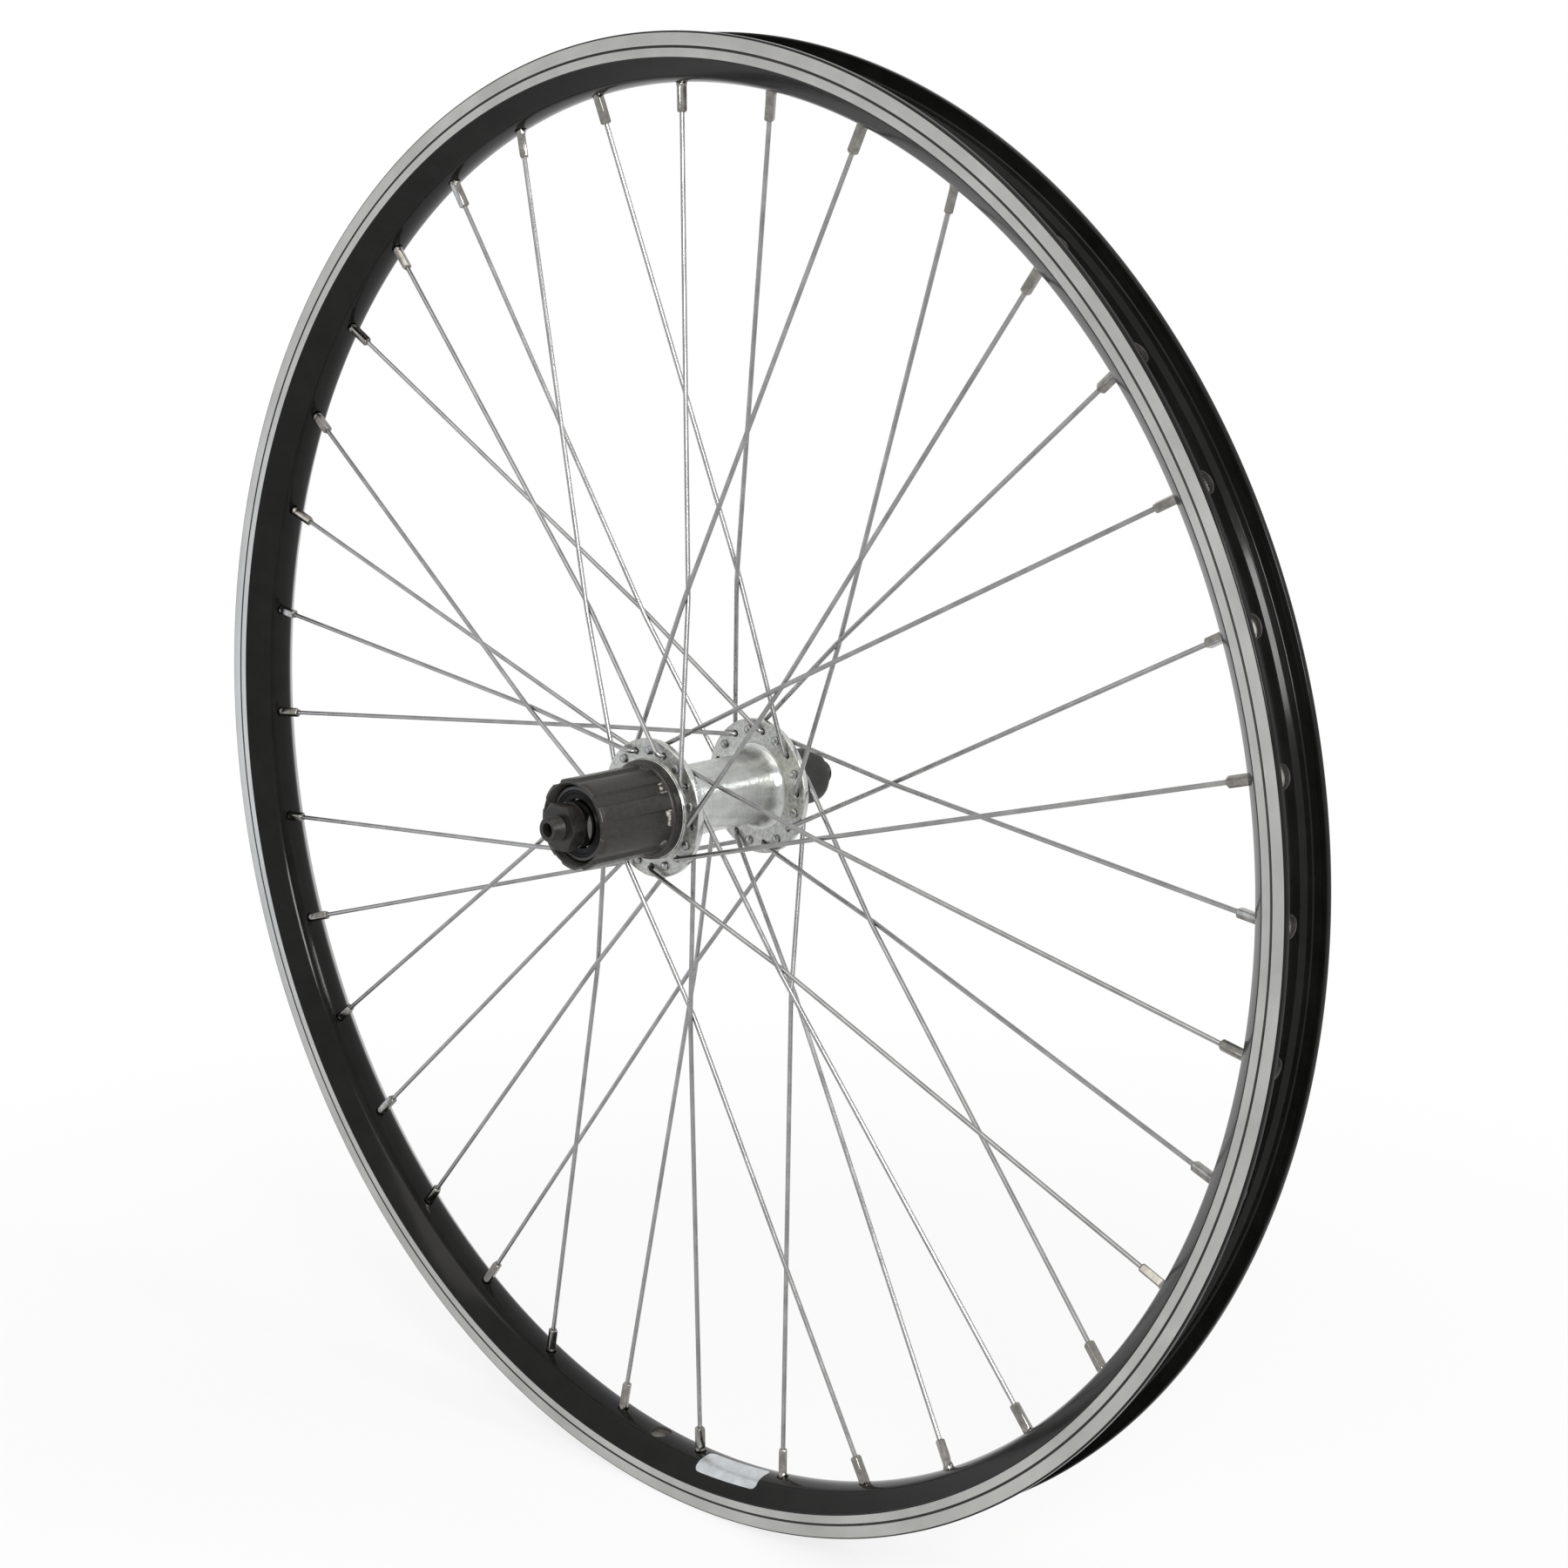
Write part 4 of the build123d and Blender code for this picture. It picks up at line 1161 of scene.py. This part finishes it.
@dataclass
class Freehub:
    """A splined freehub body with a base ring, ratchet teeth inside, and a threaded mouth."""

    base_start: float = -22.5
    base_end: float = -24.9
    base_radius: float = 19.0
    base_fillet: float = 0.9
    fillet_start: float = 0.05
    fillet_share: float = 0.1
    crest: float = 17.3
    depth: float = 1.0
    groove_half: float = 2.3
    key_half: float = 3.2
    ramp: float = 0.7
    splines: int = 9
    runout: float = 4.5
    end: float = -60.5
    end_bevel: float = 0.7
    mouth: float = 15.3
    mouth_end: float = -51.5
    mouth_bevel: float = 0.5
    thread_pitch: float = 1.06
    thread_depth: float = 0.35
    thread_runout: float = 1.5
    thread_skin: float = 0.2
    mouth_wall: float = 0.4
    bore: float = 14.195
    ratchet_end: float = -31.0
    ratchet_depth: float = 1.1
    teeth: int = 24
    tooth_start: float = 115.6
    # Bare steel in the run-out near the base ring: partly worn steel, partly painted glints, brighter
    # towards one side as a painted highlight
    glint_side: float = 10.0
    runout_bell_place: float = 2.2
    runout_bell_length: float = 1.6
    glint_side_mean: float = 0.55
    glint_side_swing: float = 0.45
    edge_wear: float = 0.15
    runout_wear_and_glint: float = 0.48
    mouth_wear: float = 0.1
    columns: int = 360
    fillet_rows: int = 6
    runout_rows: int = 10
    body_rows: int = 12

    def groove(self, angle: Array) -> Array:
        """How deep the spline grooves are at each angle, from 0 on a crest to 1 in a groove.

        Args:
            angle: angles about the axle, in degrees.

        Returns:
            The share of the full depth.
        """
        step = 360 / self.splines
        number = np.round(angle / step)
        arc = np.abs(np.radians(angle - number * step)) * self.crest
        half = np.where(number % self.splines == 0, self.key_half, self.groove_half)
        share = np.clip((half + self.ramp / 2 - arc) / self.ramp, 0, 1)
        return share * share * (3 - 2 * share)

    def build(self) -> None:
        """Build and dress the freehub body.

        Its outside is a radius for each place along the axle, less the grooves' depth, which fades out
        in front of the base ring as the cutter left it. Its mouth's thread is a wave of the radius.
        """
        angles = whole_turn(self.columns)
        # The base ring's two rounded edges: place along the axle, and fall below the ring
        base = np.array([
            (self.base_start, 0.9), (self.base_start, 0.4), (self.base_start - 0.12, 0.12),
            (self.base_start - 0.4, 0.0), (self.base_end + 0.5, 0.0), (self.base_end + 0.15, 0.1),
            (self.base_end, 0.4), (self.base_end, 0.8),
        ])
        # The front edge's bevel: distance from the end, fall of the crests and loss of the grooves' depth
        front = np.array([(0.35, 0.25, 0.2), (0.1, 0.55, 0.45), (0.0, 0.85, 0.7)])
        fade_end = self.base_end - self.base_fillet
        fade_start = fade_end - self.runout
        along = np.concatenate([
            base[:, 0],
            np.linspace(self.base_end - self.fillet_start, fade_end, self.fillet_rows),
            np.linspace(fade_end, fade_start, self.runout_rows)[1:],
            np.linspace(fade_start, self.end + self.end_bevel, self.body_rows)[1:],
            self.end + front[:, 0],
        ])
        rise = 1 - np.sin(np.linspace(self.fillet_share, 1, self.fillet_rows) * math.pi / 2)
        radius = np.concatenate([
            self.base_radius - base[:, 1],
            self.crest + self.base_fillet * rise,
            np.full(self.runout_rows + self.body_rows - 2, self.crest),
            self.crest - front[:, 1],
        ])
        share = np.clip((fade_end - along) / self.runout, 0, 1)
        cut = self.depth * np.sqrt(1 - (1 - share) ** 2)
        cut[-len(front):] = self.depth - front[:, 2]
        outside = radius[:, None] - cut[:, None] * self.groove(angles)[None]
        shell = Shell().add(
            about_axle(outside, along[:, None], angles[None]),
            self.inside(angles, outside[-1], outside[0]),
        )
        shell.make("freehub_splined", (OXIDE,), Body.FREEHUB, Slot.BLACK_STEEL, "freehub_body",
                   wear_and_glint=self.wear_and_glint_of)

    def inside(self, angles: Array, first: Array, last: Array) -> Array:
        """The mouth with its thread, the bore and the ratchet teeth.

        Each tooth is a slope that rises over its pitch and drops at once.

        Args:
            angles: the columns' angles.
            first: the outside's radius at the mouth.
            last: the outside's radius at the base.

        Returns:
            The grid of points.
        """
        thread_start = self.end + self.mouth_bevel
        thread_end = self.mouth_end - self.thread_runout
        thread = np.arange(thread_start, thread_end, self.thread_pitch / THREAD_STEPS)
        wave = threaded(self.mouth, self.thread_depth, self.thread_pitch, thread)
        along = np.concatenate([
            [self.end, self.end, thread_start], thread,
            np.repeat([self.mouth_end, self.ratchet_end, self.base_start], 2),
        ])
        plain = np.concatenate([
            [self.mouth + self.mouth_bevel, self.mouth], wave, [self.mouth, self.bore, self.bore],
        ])
        step = 360 / self.teeth
        rise = np.mod(angles - self.tooth_start, step) / step
        tooth = self.bore + self.ratchet_depth * rise
        tooth[-1] = tooth[0]
        rows = np.repeat(plain[:, None], len(angles), axis=1)
        rows = np.concatenate([[first], rows, [tooth, tooth, last]])
        return about_axle(rows, along[:, None], angles[None])

    def wear_and_glint_of(self, places: Array) -> Array:
        """How much bare steel colour shows: worn steel at the crests' edges and the mouth's edge, worn steel
        and painted glints in the grooves' run-out.

        The run-out's bare colour is a bell along the axle, partly wear and partly a painted glint, and a
        cosine round it paints one side brighter, as a painted highlight.

        Args:
            places: points in millimetres.

        Returns:
            The share of bare steel colour at each point, for wear and painted glints, from 0 to 1.
        """
        radius = np.hypot(places[:, 0], places[:, 2])
        angle = np.degrees(np.arctan2(places[:, 2], places[:, 0]))
        cut = self.groove(angle)
        edge = 4 * cut * (1 - cut)
        # Painted highlight: a cosine round the axle makes the run-out's bare colour brighter on one side
        side = self.glint_side_mean + self.glint_side_swing * np.cos(np.radians(angle - self.glint_side))
        bell = np.exp(-((places[:, 1] - self.base_end + self.runout_bell_place) / self.runout_bell_length) ** 2)
        run = bell * cut * side
        mouth = np.exp(-((places[:, 1] - self.end) / self.mouth_bevel) ** 2)
        outer = self.edge_wear * edge + self.runout_wear_and_glint * run + self.mouth_wear * mouth
        in_thread = (radius < self.mouth + self.thread_skin) & (places[:, 1] < self.mouth_end)
        inner = np.where(in_thread, self.mouth_wear, 0.0)
        return np.clip(np.where(radius > self.mouth + self.mouth_wall, outer, inner), 0, 1)


# Axle group


@dataclass
class AxleGroup:
    """The hollow axle, the boot, the dust caps and the loose balls."""

    radius: float = 5.0
    stub: float = 4.8
    thread_depth: float = 0.4
    thread_pitch: float = 1.0
    bore: float = 2.6
    bore_bevel: float = 0.2
    half_length: float = 72.5
    lock_face: float = 67.5
    bevel: float = 0.6
    bevel_edge: float = 0.1
    axle_columns: int = 64
    boot_bore: float = 8.85
    boot_radius: float = 11.2
    boot_start: float = 48.2
    boot_end: float = 65.9
    boot_dome: float = 5.5
    boot_lip: float = 0.15
    boot_seam: float = 2.0
    boot_inner_round: float = 0.3
    boot_outer_round: float = 0.7
    dome_rows: int = 12
    cap_bore: float = 9.3
    cap_radius: float = 12.775
    cap_thickness: float = 1.2
    cap_recess: float = 0.35
    cap_rim: float = 1.2
    cap_slope: float = 0.3
    cap_rounds: tuple = (0.2, 0.3, 0.25, 0.3, 0.1, 0.1)
    left_cap: float = 46.7
    drive_cap: float = -57.3
    columns: int = 72
    ball: float = 3.175
    ball_circle: float = 9.5
    balls: int = 9
    ball_rows: int = 12
    ball_columns: int = 20
    left_balls: float = 41.5
    drive_balls: float = -51.5

    def build(self) -> None:
        """Build and dress the axle, boot, dust caps and balls."""
        self.build_axle()
        self.build_boot()
        self.build_cap("dust_cap_left", self.left_cap, 1)
        self.build_cap("dust_cap_drive", self.drive_cap, -1)
        self.build_balls("balls_left", self.left_balls, Body.LEFT_BALLS)
        self.build_balls("balls_drive", self.drive_balls, Body.DRIVE_BALLS)

    def build_axle(self) -> None:
        """The axle: a rod whose ends carry a thread, a wave of the radius along them."""
        thread_end = self.half_length - self.bevel
        along = np.arange(self.lock_face, thread_end, self.thread_pitch / THREAD_STEPS)
        wave = threaded(self.stub, self.thread_depth, self.thread_pitch, along)
        tip = [
            [self.stub - self.bevel_edge, thread_end],
            [self.stub - self.bevel, self.half_length],
            [self.bore + self.bore_bevel, self.half_length],
            [self.bore, self.half_length - self.bore_bevel],
        ]
        half = np.concatenate([[[self.radius, self.lock_face]], np.stack([wave, along], axis=1), tip])
        other = half * OTHER_SIDE
        whole = np.concatenate([other[::-1], half, other[-1:]])
        shell = Shell().add(turned(whole, whole_turn(self.axle_columns)))
        shell.make("axle_threaded", (ZINC,), Body.AXLE, Slot.AXLE, "axle")

    def build_boot(self) -> None:
        """The boot: a sleeve with a small round at the hub and an elliptical dome at its outer end."""
        turn = np.linspace(0, math.pi / 2, self.dome_rows)[1:]
        dome_start = self.boot_end - self.boot_dome
        lip = self.boot_bore + self.boot_lip
        seam = self.boot_start + self.boot_seam
        sleeve = rounded([
            (self.boot_bore, seam, 0),
            (self.boot_bore, self.boot_start, self.boot_inner_round),
            (self.boot_radius, self.boot_start, self.boot_outer_round),
            (self.boot_radius, dome_start, 0),
        ])
        dome_radius = lip + (self.boot_radius - lip) * np.cos(turn)
        dome = np.stack([dome_radius, dome_start + self.boot_dome * np.sin(turn)], axis=1)
        close = [[self.boot_bore, self.boot_end - self.boot_lip], [self.boot_bore, seam]]
        shell = Shell().add(turned(np.concatenate([sleeve, dome, close]), whole_turn(self.columns)))
        shell.make("boot_moulded", (RUBBER,), Body.AXLE, Slot.RUBBER, "boot_left")

    def build_cap(self, node: str, face: float, outward: int) -> None:
        """A dust cap: a pressed ring with a rolled rim, turned about the axle.

        Args:
            node: the CAD node.
            face: where its outer face is along the axle.
            outward: 1 on the left side, -1 on the drive side.
        """
        back = face - outward * self.cap_thickness
        low = face - outward * self.cap_recess
        rim = self.cap_radius - self.cap_rim
        seam = (self.cap_bore, (face + back) / 2, 0)
        corners = (
            (self.cap_bore, low), (self.cap_radius - (self.cap_rim + self.cap_slope), low), (rim, face),
            (self.cap_radius, face), (self.cap_radius, back), (self.cap_bore, back),
        )
        middle = [(*corner, size) for corner, size in zip(corners, self.cap_rounds)]
        shell = Shell().add(turned(rounded([seam, *middle, seam]), whole_turn(self.columns)))
        shell.make(node + "_pressed", (NYLON,), Body.WHEEL, Slot.PLASTIC, node)

    def build_balls(self, node: str, along: float, body: Body) -> None:
        """A ring of balls: spheres of latitude and longitude round the axle.

        Args:
            node: the CAD node.
            along: the ring's place along the axle.
            body: the body that the ring rolls with.
        """
        tall = np.linspace(-math.pi / 2, math.pi / 2, self.ball_rows + 1)[:, None]
        turn = np.linspace(0, 2 * math.pi, self.ball_columns + 1)[None]
        sphere = self.ball * np.stack(
            [np.cos(tall) * np.cos(turn), np.cos(tall) * np.sin(turn), np.sin(tall) + 0 * turn], axis=-1)
        places = about_axle(self.ball_circle, along, 360 / self.balls * np.arange(self.balls))
        shell = Shell().add(places[:, None, None] + sphere[None])
        shell.make(node + "_ground", (BEARING,), body, Slot.BEARING, node)


@dataclass
class KeptNodes:
    """CAD nodes whose shape is right, grouped by the finish that they get."""

    bearing: tuple = ("cup_left", "cone_left", "cone_drive", "pawl_1", "pawl_2", "pawl_springs")
    zinc: tuple = ("washer_left", "washer_drive", "lock_nut_left", "lock_nut_drive", "freehub_bolt")
    nylon: tuple = ("spacer_left",)
    oxide: tuple = ("freehub_carrier",)

    def dress(self) -> None:
        """Put each kept node's finish in its material slots."""
        groups = {BEARING: self.bearing, ZINC: self.zinc, NYLON: self.nylon, OXIDE: self.oxide}
        for finish, names in groups.items():
            for name in names:
                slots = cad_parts[name].data.materials
                slots.clear()
                slots.append(STOCK.get(finish))
                log.info("%s: %s", name, finish.name)


# Studio


@dataclass(frozen=True)
class Lamp:
    """A square soft lamp that faces the wheel's middle, in metres and watts."""

    name: str
    place: tuple
    size: float
    power: float
    tint: str

    def hang(self) -> None:
        """Put the lamp in the scene and turn it to the wheel."""
        data = bpy.data.lights.new(self.name, "AREA")
        data.size = self.size
        data.energy = self.power
        data.color = linear(self.tint)[:3]
        lamp = put_in_scene(self.name, data)
        lamp.location = self.place
        direction = Vector(self.place) * -1
        lamp.rotation_euler = direction.to_track_quat("-Z", "Y").to_euler()


# A flash near the camera, a large key lamp above the drive side, a small one from the right,
# and a weak cool one low down
LAMPS = (
    Lamp("flash_lamp", (0.95, -0.62, 0.42), 0.36, 10.0, "#ffffff"),
    Lamp("key_lamp", (0.1, -1.4, 1.6), 1.2, 10.0, "#fffaf4"),
    Lamp("side_lamp", (1.6, 0.4, 1.0), 0.3, 6.0, "#ffffff"),
    Lamp("low_lamp", (-0.8, -0.55, -0.2), 0.4, 0.6, "#dbe8ff"),
)


@dataclass
class Studio:
    """A pale floor, soft lamps, a white background and the photograph's camera."""

    azimuth: float = 45.1412
    elevation: float = 12.3831
    distance: float = 1134.78
    right_shift: float = -35.42
    up_shift: float = -6.01
    lens: float = 68.0
    floor_height: float = -285.5
    floor_size: float = 12000.0
    floor_steps: int = 24
    floor_colour: str = "#ececec"
    shadow_share: float = 0.18
    shadow_near: float = 150.0
    shadow_far: float = 750.0
    world_colour: str = "#ffffff"
    world_light: float = 0.55
    world_seen: float = 1.0

    def build(self) -> None:
        """Set up the camera, the floor, the lamps and the world."""
        bpy.context.scene.view_settings.view_transform = "Standard"
        self.place_camera()
        self.lay_floor()
        for lamp in LAMPS:
            lamp.hang()
        self.light_world()

    def axes(self) -> tuple:
        """The camera's right, up and backward directions."""
        turn, tilt = math.radians(self.azimuth), math.radians(self.elevation)
        back = np.array([math.sin(turn) * math.cos(tilt), -math.cos(turn) * math.cos(tilt), math.sin(tilt)])
        right = np.array([math.cos(turn), math.sin(turn), 0.0])
        return right, np.cross(back, right), back

    def place_camera(self) -> None:
        """Put the camera where the photograph was taken from."""
        right, up, back = self.axes()
        place = (back * self.distance - right * self.right_shift - up * self.up_shift) * MM
        data = bpy.data.cameras.new("camera")
        data.lens = self.lens
        camera = put_in_scene("camera", data)
        matrix = np.eye(4)
        matrix[:3, :] = np.stack([right, up, back, place], axis=1)
        camera.matrix_world = matrix.T.tolist()
        bpy.context.scene.camera = camera

    def lay_floor(self) -> None:
        """Lay the floor: pale paint that keeps the shadow near the wheel and fades into white."""
        line = np.linspace(-self.floor_size / 2, self.floor_size / 2, self.floor_steps + 1)
        points = np.stack(np.meshgrid(line, line, self.floor_height, indexing="ij"), axis=-1)
        index = np.arange(len(line) ** 2).reshape(len(line), len(line))
        mesh = bpy.data.meshes.new("floor")
        mesh.from_pydata((points.reshape(-1, 3) * MM).tolist(), [], quads_of(index).tolist())
        mesh.materials.append(self.floor_paint())
        put_in_scene("floor", mesh)

    def floor_paint(self) -> bpy.types.Material:
        """Matt white paint. What a camera, a mirror or glass sees of it is white but for the shadow.

        Returns:
            The new material.
        """
        material = bpy.data.materials.new("matt_white_paint")
        material.use_nodes = True
        tree = material.node_tree
        tree.nodes.clear()
        place = add_node(tree, "ShaderNodeTexCoord").outputs["Object"]
        away = add_node(tree, "ShaderNodeVectorMath", {"operation": "DISTANCE"},
                        {0: place, 1: (0.0, 0.0, self.floor_height * MM)}).outputs["Value"]
        shade = add_node(tree, "ShaderNodeMapRange", {"interpolation_type": "SMOOTHSTEP"}, {
            "Value": away, "From Min": self.shadow_near * MM, "From Max": self.shadow_far * MM,
            "To Min": self.shadow_share, "To Max": 0.0,
        }).outputs["Result"]
        colour = linear(self.floor_colour)
        paint = add_node(tree, "ShaderNodeBsdfDiffuse", inputs={"Color": colour}).outputs[0]
        white = add_node(tree, "ShaderNodeEmission", inputs={"Strength": 1.0}).outputs[0]
        near = add_node(tree, "ShaderNodeMixShader", inputs={0: shade, 1: white, 2: paint}).outputs[0]
        seen = self.seen(tree)
        mixed = add_node(tree, "ShaderNodeMixShader", inputs={0: seen, 1: paint, 2: near}).outputs[0]
        add_node(tree, "ShaderNodeOutputMaterial", inputs={"Surface": mixed})
        return material

    @staticmethod
    def seen(tree: Tree) -> Socket:
        """One for what a camera, a mirror or glass sees, and nought for light that falls on things."""
        path = add_node(tree, "ShaderNodeLightPath").outputs
        total = path["Is Camera Ray"]
        for ray in ("Is Glossy Ray", "Is Transmission Ray"):
            pair = {0: total, 1: path[ray]}
            total = add_node(tree, "ShaderNodeMath", {"operation": "MAXIMUM"}, pair).outputs[0]
        return total

    def light_world(self) -> None:
        """Set the world's white: a plain level of light on things, and white where it is seen."""
        world = bpy.data.worlds.new("white_studio")
        bpy.context.scene.world = world
        world.use_nodes = True
        tree = world.node_tree
        tree.nodes.clear()
        level = add_node(tree, "ShaderNodeMapRange", inputs={
            "Value": self.seen(tree), "To Min": self.world_light, "To Max": self.world_seen,
        }).outputs["Result"]
        colour = linear(self.world_colour)
        glow = add_node(tree, "ShaderNodeBackground", inputs={"Color": colour, "Strength": level}).outputs[0]
        add_node(tree, "ShaderNodeOutputWorld", inputs={"Surface": glow})


def main() -> None:
    """Build every sub-assembly in order."""
    logging.basicConfig(level=logging.INFO, format="%(name)s: %(message)s")
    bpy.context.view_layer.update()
    Studio().build()
    lacing = Lacing()
    rim = Rim()
    rim.build(lacing)
    Plate().build(rim)
    lacing.build_spokes()
    lacing.build_nipples()
    HubShell().build()
    Freehub().build()
    AxleGroup().build()
    KeptNodes().dress()


if __name__ == "__main__":
    main()
